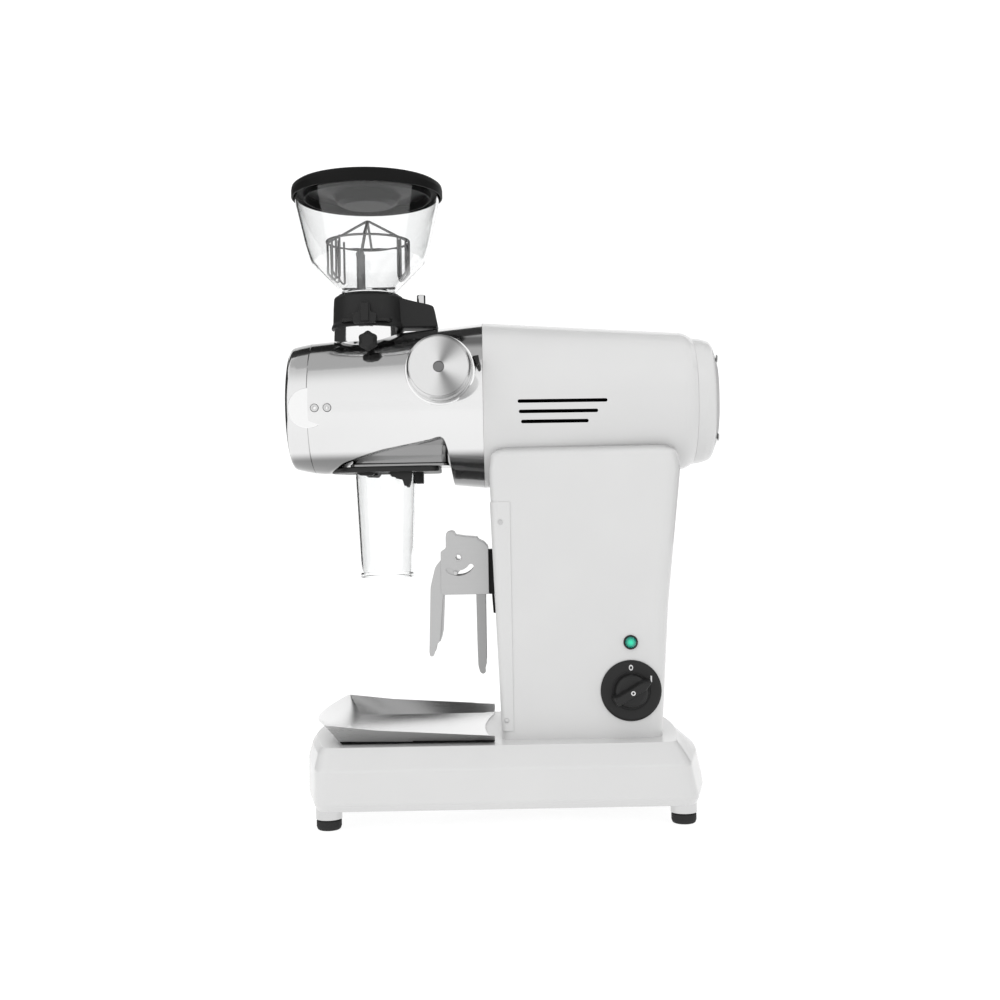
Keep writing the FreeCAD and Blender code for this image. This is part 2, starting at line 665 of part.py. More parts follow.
quill = newBody("shaft_quill", 0, 0, "shaftZ")
quillFront = "burrRear + 1"
revolve(quill, "Y", [(quillFront, "bearingRadius"), (quillFront, "quillRadius - runFit"),
                     (-22, "quillRadius - runFit"), (-22, "bearingRadius")])
extrude(quill, "YZ_Plane", -5, 5, [
    ("knobY + camRadius + 0.05", 17), ("knobY + camRadius + 7", 17), ("knobY + camRadius + 7", 36),
    ("knobY + camRadius + 0.05", 36)])
bearings = [ring("bearingRadius", "shaftRadius + runFit", 10, 0, y, "shaftZ", "Y") for y in (-74, -33)]
group("quill_bearings", bearings)

# ---- grind adjuster on the chamber's side ----

# The cam's radius falls evenly with its own angle, so the quill moves in step with the knob.
steps = 24
spread = math.radians(150)
rim = []
for k in range(steps + 1):
    angle = -spread + 2 * spread * k / steps
    reach = value("camRadius") - value("camRise") * angle
    rim.append(FreeCAD.Vector(0, reach * math.cos(angle), reach * math.sin(angle)))
spiral = Part.BSplineCurve()
spiral.interpolate(rim)
camEdges = [spiral.toShape(), Part.makeLine(rim[-1], rim[0])]
camSolid = Part.Face(Part.Wire(camEdges)).extrude(FreeCAD.Vector(10, 0, 0))
cam = doc.addObject("Part::Feature", "Cam")
cam.Shape = camSolid
place(cam, -5, "knobY", "knobZ")
node("adjust_spindle", fuse(cam, cylinder("spindleRadius", "knobFace - 12 - 4", 4, "knobY", "knobZ", "X")))

knob = newBody("adjust_knob", 0, "knobY", "knobZ")
revolve(knob, "X", [
    ("bossFace + 0.4", "spindleRadius"), ("bossFace + 0.4", "knobRadius + 1.6", 1),
    ("bossFace + 5", "knobRadius + 1.6", 1), ("bossFace + 5.6", "knobRadius + 0.6"),
    ("knobFace - 2", "knobRadius + 0.4"), ("knobFace", "knobRadius - 1.6"),
    ("knobFace - 1.4", 4.7), ("knobFace - 12", 4.7), ("knobFace - 12", "spindleRadius")])
node("knob_cap", cylinder(4.7, 10.4, "knobFace - 12", "knobY", "knobZ", "X"))

# ---- throat, gate and hopper ----

neck = newBody("hopper_neck", 0, "hopperY")
revolve(neck, "Z", [("throatRadius", 450), (32.95, 450), (32.95, 462), (36.6, 462, 0.6), (36.6, 466.4, 2),
                    (33.8, 469), (34.5, "neckTop"), ("throatRadius + 3", "neckTop"), ("throatRadius", 468)])
extrude(neck, "YZ_Plane", 20, 45, circles=[(4, 457, 4.05)], cut=True)

collar = newBody("hopper_collar", 0, "hopperY")
revolve(collar, "Z", [("collarBore", "neckTop"), ("collarRadius + 2.6", "neckTop"),
                      ("collarRadius + 0.6", "neckTop + 4"), ("collarRadius", "neckTop + 14"),
                      ("collarRadius", "collarTop", 6), ("collarBore", "collarTop")])
arm = "armEnd - hopperY"
extrude(collar, "YZ_Plane", -15, 15, [
    (29, "neckTop"), (arm, "neckTop", 2), (f"{arm} - 4", "collarTop - 13", 3), (48, "collarTop - 9"),
    (36, "collarTop - 3", 8), (29, "collarTop - 3")])
extrude(collar, "YZ_Plane", 16, 36, rectangle(-13, 13, "gateFloor - 3", "gateFloor + 6"))
extrude(collar, "XY_Plane", "neckTop - 1", "collarTop + 1", circles=[(0, 0, "collarBore")], cut=True)
extrude(collar, "XY_Plane", "gateFloor - 0.2", "gateFloor + gateGauge + 0.3",
        rectangle(-30, 60, "-gateHalf - 0.3", "gateHalf + 0.3"), cut=True)
extrude(collar, "XY_Plane", 490, "collarTop + 2", circles=[(0, 52.5, 4.5)], cut=True)
node("collar_bolt", cylinder(4.5, 21, 0, "hopperY + 52.5", 490))

gate = newBody("gate_shutter", 0, "hopperY")
extrude(gate, "XY_Plane", "gateFloor", "gateFloor + gateGauge", [
    (-28, "-gateHalf", 6), (39.5, "-gateHalf", 3), (39.5, "gateHalf", 3), (-28, "gateHalf", 6)])
extrude(gate, "YZ_Plane", 38.6, 45, [
    (-12, "gateFloor - 3", 2), (11, "gateFloor - 3", 2), (11, "gateFloor + 9", 3), (5, "gateFloor + 9"),
    (5, "gateFloor + 19", 2), (-6, "gateFloor + 19", 2), (-6, "gateFloor + 9"), (-12, "gateFloor + 9", 3)])

lock = newBody("lock_thumbscrew", 0, -125, 457)
revolve(lock, "X", [(34, 0), (34, 3.4), (35, 4), (53, 4), (53, 8.6, 1), (60, 9.6, 2), (65, 5, 2), (65, 0)])
scallop = extrude(lock, "YZ_Plane", 52, 66, circles=[(0, 12, 4)], cut=True)
polar(lock, scallop, "X_Axis", 6)

hopper = newBody("hopper", 0, "hopperY")
bowl = [(53.6, 539, 6), (58, 544, 10), (63.5, 562, 60), (72.4, 600, 40)]
outer = [("collarBore - 0.3", "gateFloor + gateGauge + 2"), ("collarBore - 0.3", 513, 2)]
outer += bowl + [(73, "hopperRim")]
inner = [("73 - hopperWall", "hopperRim")]
inner += [(f"{r} - hopperWall", f"{z} + 0.8", turn) for r, z, turn in reversed(bowl)]
inner += [("collarBore - 0.3 - hopperWall", 514.5, 4),
          ("collarBore - 0.3 - hopperWall", "gateFloor + gateGauge + 2")]
revolve(hopper, "Z", outer + inner)

lid = newBody("hopper_lid", 0, "hopperY")
revolve(lid, "Z", [
    ("lidRadius - 2", 607.5), ("lidRadius", 607.5), ("lidRadius", 617.5, 3),
    ("lidRadius - 6", "lidTop - 1", 5), (0, "lidTop"), (0, 600), (24, 600), (30, 603, 3), (34, 611, 3),
    (44, 614, 3), ("lidRadius - 14", 614), ("lidRadius - 14", 606), ("lidRadius - 11.6", 606),
    ("lidRadius - 11.6", "hopperRim + 0.3"), ("lidRadius - 2", "hopperRim + 0.3")])
revolve(lid, "Z", [
    (0, 602), (22.5, 602), (28, 605), (31.5, 613), (43, 616.5), (43, 618), (0, 618.5)], cut=True)

# Wire guard: a ring, four spokes to its apex, and drop loops that rest on the hopper's cone.
wire = value("guardWire")
ringRadius = value("guardRadius")
ringZ = value("guardZ")
apex = FreeCAD.Vector(0, 0, value("guardApex"))


def rod(start, end):
    span = end - start
    solid = Part.makeCylinder(wire, span.Length, start, span)
    return [solid, Part.makeSphere(wire, start), Part.makeSphere(wire, end)]


wires = [Part.makeTorus(ringRadius, wire, FreeCAD.Vector(0, 0, ringZ))]
for k in range(4):
    turn = math.radians(90 * k)
    wires += rod(apex, FreeCAD.Vector(ringRadius * math.cos(turn), ringRadius * math.sin(turn), ringZ))
loops = [(turn, turn + 24) for turn in (36, 84, 132, 216, 264, 312)]
for first, last in loops:
    foot = []
    for turn in (first, last):
        heading = FreeCAD.Vector(math.cos(math.radians(turn)), math.sin(math.radians(turn)), 0)
        top = heading * ringRadius + FreeCAD.Vector(0, 0, ringZ)
        drop = value("guardFoot" if turn == first else "guardToe")
        low = heading * (ringRadius - 1) + FreeCAD.Vector(0, 0, drop)
        wires += rod(top, low)
        foot.append(low)
    wires += rod(foot[0], foot[1])
guard = doc.addObject("Part::Feature", "Guard")
guard.Shape = wires[0].multiFuse(wires[1:])
place(guard, 0, "hopperY", 0)
node("finger_guard", guard)
postBlade = box(-0.7, 0.7, "hopperY - 3", "hopperY + 3", 517.6, "guardApex - 3.6")
postBar = cylinder(1.2, 54, 0, "hopperY - 27", 517.6, "Y")
node("guard_post", fuse(postBlade, postBar))

# ---- spout ----

outlet = newBody("outlet_plate", 0, "spoutY")
extrude(outlet, "XY_Plane", "outletFloor", "outletFloor + 5.5", rectangle(-44, 44, -34, 58, 22))
extrude(outlet, "XY_Plane", "outletFloor - 1", "outletFloor + 4.6", circles=[(0, 0, "spoutMouth + 0.8")],
        cut=True)
extrude(outlet, "XY_Plane", "outletFloor - 1", "outletFloor + 7", circles=[(0, 0, 26)], cut=True)
extrude(outlet, "XY_Plane", "outletFloor - 14", "outletFloor", [
    (24, 8), (36, 8, 3), (36, 28, 3), (24, 32)])
extrude(outlet, "XY_Plane", "outletFloor - 14", "outletFloor", [
    (-24, 8), (-24, 32), (-36, 28, 3), (-36, 8, 3)])
extrude(outlet, "XY_Plane", "outletFloor - 15", "outletFloor", circles=[(0, 0, "spoutMouth + 0.8")], cut=True)

spout = newBody("spout_tube", 0, "spoutY")
revolve(spout, "Z", [
    ("spoutTip - 2", "spoutBottom"), ("spoutTip + 0.8", "spoutBottom", 0.8),
    ("spoutTip + 0.8", "spoutBottom + 3.6"), ("spoutTip", "spoutBottom + 4.4"), ("spoutMouth", "spoutTop"),
    ("spoutMouth - 2", "spoutTop")])

# ---- bag clamp ----

mountBox = box(-14, 14, -13.5, 2, 209, 254)
columnBlock = newBody("column_block", isNode=False)
loft(columnBlock, "XY_Plane", columnSections("coverGauge"))
node("clamp_mount", cutAway(mountBox, columnBlock))

bracket = newBody("bracket_plate", isNode=False)
sideShape = [(-13.5, 210), (-13.5, 255.5), (-24, 264.5, 8), (-45, 266.5), (-55, 267, 1), (-55, 256.5, 1),
             (-60.5, 252, 3), (-60.5, 210, 2)]
extrude(bracket, "YZ_Plane", "-clampHalf", "clampHalf", sideShape)
extrude(bracket, "YZ_Plane", "-clampHalf + 1.5", "clampHalf - 1.5", [
    (-15, 200), (-15, 254.5), (-25, 262.8), (-45, 265), (-80, 265.4), (-80, 200)], cut=True)
extrude(bracket, "YZ_Plane", "-clampHalf - 1", "clampHalf + 1", circles=[("pivotY", "pivotZ", 3.5)], cut=True)


def arcPoint(radius, degrees):
    turn = math.radians(degrees)
    return (f"pivotY + ({radius}) * {math.cos(turn):.4f}", f"pivotZ + ({radius}) * {math.sin(turn):.4f}")


slotEnds = (-128, -108, -88, -68, -48, -36)
slotOutline = [arcPoint("slotArc + 2.6", a) for a in slotEnds]
slotOutline += [arcPoint("slotArc - 2.6", a) for a in reversed(slotEnds)]
extrude(bracket, "YZ_Plane", "-clampHalf - 1", "clampHalf + 1", slotOutline, cut=True)

hook = newBody("bracket_hook", isNode=False)
hookShape = [(-55, 267), (-53.6, 267), (-53.6, 271.6, 1.5), (-47.4, 271.6, 1.5), (-47.4, 266.7),
             (-46, 266.7), (-46, 273, 2.5), (-55, 273, 2.5)]
extrude(hook, "YZ_Plane", -10, 10, hookShape)
node("clamp_bracket", fuse(bracket, hook))

rearJaw = newBody("clamp_rear_jaw")
rearShape = [(-26.4, 252, 2), (-26, 146), (-23.5, 133, 3), (-19, 131, 2), (-16.7, 142, 2), (-16.5, 252, 2)]
extrude(rearJaw, "YZ_Plane", "-clampHalf + 1.5", "clampHalf - 1.5", rearShape)
extrude(rearJaw, "YZ_Plane", "-clampHalf + 2.8", "clampHalf - 2.8", [
    (-10, 260), (-10, 120), (-21, 134), (-24.4, 150), (-24.8, 260)], cut=True)

frontJaw = newBody("clamp_front_jaw")
jawShape = [(-37, 252, 4), (-37, 236, 6), (-58, 212, 8), (-59.4, 205), (-63.6, 161.7, 6), (-67.3, 150, 3),
            (-72.6, 149, 3), (-73.4, 165.8), (-70.4, 224.8, 14), (-55, 250, 12)]
extrude(frontJaw, "YZ_Plane", "-clampHalf + 1.9", "clampHalf - 1.9", jawShape)
extrude(frontJaw, "YZ_Plane", "-clampHalf + 3.1", "clampHalf - 3.1", [
    (-20, 270), (-20, 216), (-61, 216), (-61, 270)], cut=True)
extrude(frontJaw, "YZ_Plane", "-clampHalf + 3.1", "clampHalf - 3.1", [
    (-90, 262), (-90, 140), (-65.2, 140), (-65.2, 162), (-61, 205), (-61, 262)], cut=True)
extrude(frontJaw, "YZ_Plane", "-clampHalf", "clampHalf", circles=[("pivotY", "pivotZ", 3.53)], cut=True)
extrude(frontJaw, "YZ_Plane", "-clampHalf", "clampHalf", circles=[("guideY", "guideZ", 2)], cut=True)

node("clamp_pivot", ring(3.5, 2.6, "clampHalf * 2 + 2", "-clampHalf - 1", "pivotY", "pivotZ", "X"))
node("clamp_guide_pin", cylinder(2, "clampHalf * 2 + 2", "-clampHalf - 1", "guideY", "guideZ", "X"))

# ---- tray ----

tray = newBody("grounds_tray")
flare = "trayRimHalf - trayHalf"
loft(tray, "XY_Plane", [
    ("seatTop + 0.3", bowedPlan("trayHalf", "trayFront", 12, 3, 7)),
    ("trayRimZ", bowedPlan("trayRimHalf", "trayRimFront", 12, 3, 17, 0, 300)),
])
loft(tray, "XY_Plane", [
    ("seatTop + 0.3 + trayGauge", bowedPlan("trayHalf - trayGauge + 0.4", "trayFront + trayGauge", 16, 2, 7)),
    ("trayRimZ + 0.1", bowedPlan("trayRimHalf - trayGauge", "trayRimFront + trayGauge", 16, 2, 17, 0, 300)),
], cut=True)
extrude(tray, "YZ_Plane", -120, 120, [
    (-200, 91.5), ("trayRimFront - 1", "trayRimZ"), (-120, 91), (20, 82.6), (20, 110), (-200, 110)], cut=True)
extrude(tray, "XY_Plane", 70, 110, [
    (-120, "trayRear"), (-86, "trayRear", 20), (0, "trayRear - 8", 260), (86, "trayRear", 20),
    (120, "trayRear"), (120, 40), (-120, 40)], cut=True)

# ---- switch, pilot light and electrics ----

dial = newBody("switch_plate", "cheekHalf", "switchY", "switchZ")
revolve(dial, "X", [
    (0, 3.1), (0, "switchRadius"), (1.8, "switchRadius"), (3, "switchRadius - 1.6"), (3, 3.1)])
switchBody = newBody("switch_body", 0, "switchY", "switchZ")
extrude(switchBody, "YZ_Plane", 40, "cheekHalf - castingWall", rectangle(-19, 19, -19, 19, 3))
extrude(switchBody, "YZ_Plane", "cheekHalf - castingWall - 1", "cheekHalf", circles=[(0, 0, 13.8)])
extrude(switchBody, "YZ_Plane", 50, "cheekHalf + 1", circles=[(0, 0, 3.05)], cut=True)
node("switch_spindle", cylinder(3, "cheekHalf + 10 - 52", 52, "switchY", "switchZ", "X"))
grip = newBody("switch_knob", "cheekHalf", "switchY", "switchZ")
revolve(grip, "X", [(3.3, 3), (3.3, 16.5), (9, 15.2, 2), (11.5, 9), (11.5, 0), (10, 0), (10, 3)])
along = (math.sin(math.radians(60)), math.cos(math.radians(60)))
across = (-along[1], along[0])


def wingPoint(reach, side, rounding):
    y = along[0] * reach + across[0] * side
    z = along[1] * reach + across[1] * side
    return (f"{y:.3f}", f"{z:.3f}", rounding)


extrude(grip, "YZ_Plane", 3.3, 21, [
    wingPoint(-20, -5, 2), wingPoint(16, -5, 2), wingPoint(21.5, 0, 1), wingPoint(16, 5, 2),
    wingPoint(-20, 5, 2)])
extrude(grip, "YZ_Plane", 3, 10, circles=[(0, 0, 3)], cut=True)

bezel = newBody("pilot_bezel", "cheekHalf", "pilotY", "pilotZ")
revolve(bezel, "X", [
    (0, 5.2), (0, "pilotRadius"), (1.4, "pilotRadius - 0.3"), (2, "pilotRadius - 1"), (2, 5.2)])
lens = newBody("pilot_lens", "cheekHalf", "pilotY", "pilotZ")
revolve(lens, "X", [(0, 0), (0, 5.2), (2.2, 5.2), (3.6, 4.2), (4.6, 0)])
node("pilot_lamp", cylinder("pilotRadius - 0.8", 24, "cheekHalf - 24", "pilotY", "pilotZ", "X"))

node("run_capacitor", cylinder(20, 80, -30, 60, 110))
terminal = newBody("terminal_block")
extrude(terminal, "XY_Plane", 100, 118, rectangle(-25, 25, 128, 146, 2))
extrude(terminal, "XY_Plane", 106, 120, circles=[(x, 137, 3) for x in (-16, -5.5, 5.5, 16)], cut=True)

# ---- checks and output ----

doc.recompute()
failed = [f"{thing.Label} in {[o.Label for o in thing.InListRecursive if o.Label in nodes]}"
          for thing in doc.Objects if "Invalid" in thing.State or "Error" in thing.State]
failed += [label for label, thing in nodes.items()
           if thing.Shape.isNull() or not thing.Shape.isValid() or not thing.Shape.Solids]
if failed:
    raise RuntimeError("these did not compute: " + ", ".join(failed))

os.makedirs("parts", exist_ok=True)
for label, thing in nodes.items():
    thing.Shape.exportStep(f"parts/{label}.step")
    print(f"{label}: {len(thing.Shape.Solids)} solids, {thing.Shape.Volume / 1000:.1f} cm3")
print(f"{len(nodes)} nodes")
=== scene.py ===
import json
import math

import bmesh
import bpy
import numpy as np
from mathutils import Matrix, Vector


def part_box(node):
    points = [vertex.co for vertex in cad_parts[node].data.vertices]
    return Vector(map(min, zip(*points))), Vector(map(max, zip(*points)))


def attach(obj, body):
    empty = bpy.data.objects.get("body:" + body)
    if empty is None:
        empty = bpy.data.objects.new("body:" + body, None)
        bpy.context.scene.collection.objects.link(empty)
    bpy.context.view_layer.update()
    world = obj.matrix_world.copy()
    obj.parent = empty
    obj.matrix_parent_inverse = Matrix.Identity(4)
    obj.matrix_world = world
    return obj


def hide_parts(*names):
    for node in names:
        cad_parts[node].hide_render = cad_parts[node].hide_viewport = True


# Burr coffee grinder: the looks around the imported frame.
# Sizes in the dictionaries are millimetres in the frame's own axes; mm turns them into metres.

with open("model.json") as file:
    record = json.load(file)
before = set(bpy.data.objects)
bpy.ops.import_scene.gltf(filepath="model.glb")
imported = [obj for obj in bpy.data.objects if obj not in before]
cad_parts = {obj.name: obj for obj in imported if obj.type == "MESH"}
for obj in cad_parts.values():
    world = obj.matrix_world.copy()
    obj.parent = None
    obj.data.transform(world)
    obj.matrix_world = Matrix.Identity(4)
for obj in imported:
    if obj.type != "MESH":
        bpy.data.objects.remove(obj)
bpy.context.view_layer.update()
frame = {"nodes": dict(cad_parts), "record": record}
print("frame loaded:", len(frame["nodes"]), "nodes")

mm = 0.001


def middle(name):
    low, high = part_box(name)
    return (low + high) / 2 / mm


# ---- shader tools ----

class Wire:
    # One socket of a finish, with the arithmetic that is used on it.
    def __init__(self, finish, socket):
        self.finish = finish
        self.socket = socket

    def sum(self, operation, first, second):
        return self.finish.add("ShaderNodeMath", {"operation": operation}, {0: first, 1: second})

    def __add__(self, other):
        return self.sum("ADD", self, other)

    def __sub__(self, other):
        return self.sum("SUBTRACT", self, other)

    def __rsub__(self, other):
        return self.sum("SUBTRACT", other, self)

    def __mul__(self, other):
        return self.sum("MULTIPLY", self, other)

    __radd__ = __add__
    __rmul__ = __mul__


class Finish:
    # A material with its Principled shader; fixed values go straight to the shader's sockets.
    def __init__(self, name, fixed):
        self.material = bpy.data.materials.new(name)
        self.material.use_nodes = True
        self.tree = self.material.node_tree
        self.shader = self.tree.nodes["Principled BSDF"]
        for socket, value in fixed.items():
            self.shader.inputs[socket].default_value = value

    def add(self, kind, settings=None, sockets=None, out=0):
        made = self.tree.nodes.new(kind)
        for key, value in (settings or {}).items():
            if key == "stops":
                for element, (place, shade) in zip(made.color_ramp.elements, value):
                    element.position = place
                    element.color = shade
            else:
                setattr(made, key, value)
        for key, value in (sockets or {}).items():
            if isinstance(value, Wire):
                self.tree.links.new(value.socket, made.inputs[key])
            else:
                made.inputs[key].default_value = value
        return Wire(self, made.outputs[out])

    def give(self, **wires):
        names = {"colour": "Base Color", "roughness": "Roughness", "normal": "Normal",
                 "glow": "Emission Color"}
        for key, wire in wires.items():
            self.tree.links.new(wire.socket, self.shader.inputs[names[key]])

    # The piece's own coordinates, whole or one of them.
    def place(self, axis=None):
        whole = self.add("ShaderNodeTexCoord", out=3)
        if axis is None:
            return whole
        return self.add("ShaderNodeSeparateXYZ", {}, {"Vector": whole}, "XYZ".index(axis))

    # Noise in lumps per metre along each axis.
    def noise(self, x, y=None, z=None, detail=2):
        scaled = self.add("ShaderNodeVectorMath", {"operation": "MULTIPLY"},
                          {0: self.place(), 1: (x, y or x, z or x)})
        return self.add("ShaderNodeTexNoise", {}, {"Vector": scaled, "Scale": 1.0, "Detail": detail})

    # Fine lines that run round an axis, from the distance to it.
    def rings(self, centre, along, lines):
        offset = self.add("ShaderNodeVectorMath", {"operation": "SUBTRACT"},
                          {0: self.place(), 1: tuple(v * mm for v in centre)})
        flat = self.add("ShaderNodeVectorMath", {"operation": "MULTIPLY"},
                        {0: offset, 1: tuple(0.0 if axis == along else 1.0 for axis in "XYZ")})
        reach = self.add("ShaderNodeVectorMath", {"operation": "LENGTH"}, {0: flat}, out=1)
        return self.add("ShaderNodeTexNoise", {"noise_dimensions": "1D"},
                        {"W": reach * lines, "Detail": 3.0})

    def blend(self, share, first, second):
        return self.add("ShaderNodeMix", {"data_type": "RGBA"}, {0: share, 6: first, 7: second}, out=2)

    # A soft step from start to end as the value goes from low to high.
    def step(self, value, low, high, start=0.0, end=1.0):
        return self.add("ShaderNodeMapRange", {"interpolation_type": "SMOOTHSTEP"},
                        {"Value": value, "From Min": low, "From Max": high, "To Min": start, "To Max": end})

    def bump(self, height, strength, depth=0.1):
        return self.add("ShaderNodeBump", {},
                        {"Height": height, "Strength": strength, "Distance": depth * mm})


def grey(level, tint=(1, 1, 1)):
    return (level * tint[0], level * tint[1], level * tint[2], 1)


# ---- mesh tools ----

def roundPath(points, closed=True, fine=6):
    # Corners are (coordinates, radius) or plain coordinates; any number of dimensions.
    spots = [(np.array(p[0], float), p[1]) if isinstance(p[0], (tuple, list)) else (np.array(p, float), 0)
             for p in points]
    path = []
    for i, (here, radius) in enumerate(spots):
        if not radius or (not closed and i in (0, len(spots) - 1)):
            path.append(here)
            continue
        back = spots[i - 1][0] - here
        ahead = spots[(i + 1) % len(spots)][0] - here
        backLong, aheadLong = np.linalg.norm(back), np.linalg.norm(ahead)
        back, ahead = back / backLong, ahead / aheadLong
        half = math.acos(max(-1, min(1, float(back @ ahead)))) / 2
        if half > math.pi / 2 - 0.002:
            path += [here] * (fine + 1)
            continue
        reach = min(radius / math.tan(half), backLong * 0.499, aheadLong * 0.499)
        bisector = (back + ahead) / np.linalg.norm(back + ahead)
        centre = here + bisector * (reach / math.cos(half))
        start, end = here + back * reach - centre, here + ahead * reach - centre
        sweep = math.pi - 2 * half
        for k in range(fine + 1):
            t = k / fine
            near, far = math.sin((1 - t) * sweep), math.sin(t * sweep)
            path.append(centre + (start * near + end * far) / math.sin(sweep))
    return path


def r2(x, y, radius=0):
    return ((x, y), radius) if radius else (x, y)


def corners(flat):
    # (u, v) or (u, v, radius) into the form that roundPath takes
    return [r2(*p) for p in flat]


axisPoint = {
    "X": lambda a, r, t: (a, r * math.cos(t), r * math.sin(t)),
    "Y": lambda a, r, t: (r * math.cos(t), a, r * math.sin(t)),
    "Z": lambda a, r, t: (r * math.cos(t), r * math.sin(t), a),
}


def lathe(axis, centre, profile, turns=96, closed=True, fine=5, wave=None):
    # profile: (along the axis, radius, corner radius)
    path = roundPath(corners(profile), closed, fine)
    mesh = bmesh.new()
    rings = []
    for along, radius in path:
        radius = max(radius, 0)
        ring = []
        for k in range(turns):
            turn = 2 * math.pi * k / turns
            reach = radius if wave is None else wave(along, radius, turn)
            x, y, z = axisPoint[axis](along, reach, turn)
            ring.append(mesh.verts.new(((x + centre[0]) * mm, (y + centre[1]) * mm, (z + centre[2]) * mm)))
        rings.append(ring)
    pairs = list(zip(rings, rings[1:] + rings[:1])) if closed else list(zip(rings, rings[1:]))
    for first, second in pairs:
        quads(mesh, first, second, True)
    return clean(mesh)


def drum(axis, centre, low, high, radius, turns):
    return lathe(axis, centre, [(low, 0), (low, radius), (high, radius), (high, 0)], turns, False)


def clean(mesh):
    bmesh.ops.remove_doubles(mesh, verts=mesh.verts, dist=2e-6)
    bmesh.ops.dissolve_degenerate(mesh, edges=mesh.edges, dist=1e-6)
    bmesh.ops.recalc_face_normals(mesh, faces=mesh.faces)
    return mesh


def skin(rings):
    # rings: lists of points in millimetres, all of the same length
    mesh = bmesh.new()
    rows = [[mesh.verts.new(Vector(p) * mm) for p in ring] for ring in rings]
    for first, second in zip(rows, rows[1:]):
        quads(mesh, first, second, True)
    mesh.faces.new(rows[0])
    mesh.faces.new(rows[-1])
    return clean(mesh)


planePoint = {
    "X": lambda u, v, w: (w, u, v),
    "Y": lambda u, v, w: (u, w, v),
    "Z": lambda u, v, w: (u, v, w),
}


def rectangle(u0, v0, u1, v1, radius=0):
    return [(u0, v0, radius), (u1, v0, radius), (u1, v1, radius), (u0, v1, radius)]


def level(plan, z, fine):
    # a rounded plan as a ring of points at one height
    return [(x, y, z) for x, y in roundPath(corners(plan), True, fine)]


def span(side, near, far):
    # from near to far along X, on one side of the middle plane
    return sorted((side * near, side * far))


def loft(shape, sections, fine, *rest):
    # sections: the shape's own values, then the softness of the edge there
    path = roundPath([(section[:-1], section[-1]) for section in sections], False, fine)
    return skin([shape(*values, *rest) for values in path])


def quads(mesh, first, second, closed=False):
    # faces between two lines of points
    count = len(first)
    for k in range(count if closed else count - 1):
        mesh.faces.new((first[k], first[(k + 1) % count], second[(k + 1) % count], second[k]))


def prism(axis, outline, low, high, bevel=0.4, fine=5, steps=2):
    path = roundPath(corners(outline), True, fine)
    mesh = skin([[planePoint[axis](u, v, w) for u, v in path] for w in (low, high)])
    return soften(mesh, bevel, steps)


def soften(mesh, bevel, steps=2, limit=30):
    if not bevel:
        return mesh
    sharp = [edge for edge in mesh.edges
             if edge.is_manifold and edge.calc_face_angle(0) > math.radians(limit)]
    bmesh.ops.bevel(mesh, geom=sharp, offset=bevel * mm, segments=steps, profile=0.5, affect="EDGES",
                    clamp_overlap=True)
    return clean(mesh)


def join(*meshes):
    whole = bmesh.new()
    for mesh in meshes:
        part = bpy.data.meshes.new("part")
        mesh.to_mesh(part)
        mesh.free()
        whole.from_mesh(part)
        bpy.data.meshes.remove(part)
    return whole


def tube(points, radius, closed=False, sides=12, fine=5):
    # A round wire along (x, y, z) or ((x, y, z), corner radius) points.
    path = [Vector(p) for p in roundPath(points, closed, fine)]
    count = len(path)
    mesh = bmesh.new()
    rings = []
    normal = None
    for i, here in enumerate(path):
        before = path[i - 1] if (i or closed) else here
        after = path[(i + 1) % count] if (i < count - 1 or closed) else here
        along = (after - before).normalized()
        if normal is None:
            normal = along.orthogonal().normalized()
        normal = (normal - along * normal.dot(along)).normalized()
        side = along.cross(normal)
        rings.append([mesh.verts.new((here + (normal * math.cos(t) + side * math.sin(t)) * radius) * mm)
                      for t in (2 * math.pi * k / sides for k in range(sides))])
    pairs = list(zip(rings, rings[1:])) + ([(rings[-1], rings[0])] if closed else [])
    for first, second in pairs:
        quads(mesh, first, second, True)
    if not closed:
        mesh.faces.new(rings[0])
        mesh.faces.new(rings[-1])
    return clean(mesh)


def build(name, mesh, material):
    data = bpy.data.meshes.new(name)
    mesh.to_mesh(data)
    mesh.free()
    data.materials.append(material)
    thing = bpy.data.objects.new(name, data)
    bpy.context.scene.collection.objects.link(thing)
    return thing


def carve(thing, *tools, finish=None):
    # Takes tool meshes away from a piece; the new faces take the finish given.
    for mesh in tools:
        tool = build("tool", mesh, finish.material if finish else thing.data.materials[0])
        cut = thing.modifiers.new("cut", "BOOLEAN")
        cut.operation = "DIFFERENCE"
        cut.solver = "EXACT"
        cut.material_mode = "TRANSFER"
        cut.object = tool
        bpy.context.view_layer.update()
        result = bpy.data.meshes.new_from_object(thing.evaluated_get(bpy.context.evaluated_depsgraph_get()))
        thing.modifiers.clear()
        thing.data = result
        bpy.data.objects.remove(tool)
    return thing


def gather(name, things):
    # Several built things as one, keeping the finishes of their faces.
    mesh = bmesh.new()
    for thing in things:
        mesh.from_mesh(thing.data)
    data = bpy.data.meshes.new(name)
    mesh.to_mesh(data)
    mesh.free()
    for material in things[0].data.materials:
        data.materials.append(material)
    for thing in things:
        bpy.data.objects.remove(thing)
    whole = bpy.data.objects.new(name, data)
    bpy.context.scene.collection.objects.link(whole)
    return whole


def settle(thing, body, replaces=(), sharp=32):
    # Smooth shading up to an angle, the body it rides on, and the CAD nodes it stands for.
    data = thing.data
    data.polygons.foreach_set("use_smooth", [True] * len(data.polygons))
    data.set_sharp_from_angle(angle=math.radians(sharp))
    weighted = thing.modifiers.new("weighted", "WEIGHTED_NORMAL")
    weighted.keep_sharp = True
    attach(thing, body)
    if replaces:
        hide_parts(*replaces)
    return thing


def piece(name, mesh, finish, body, replaces=(), sharp=32):
    return settle(build(name, mesh, finish.material), body, replaces, sharp)


# ---- finishes ----

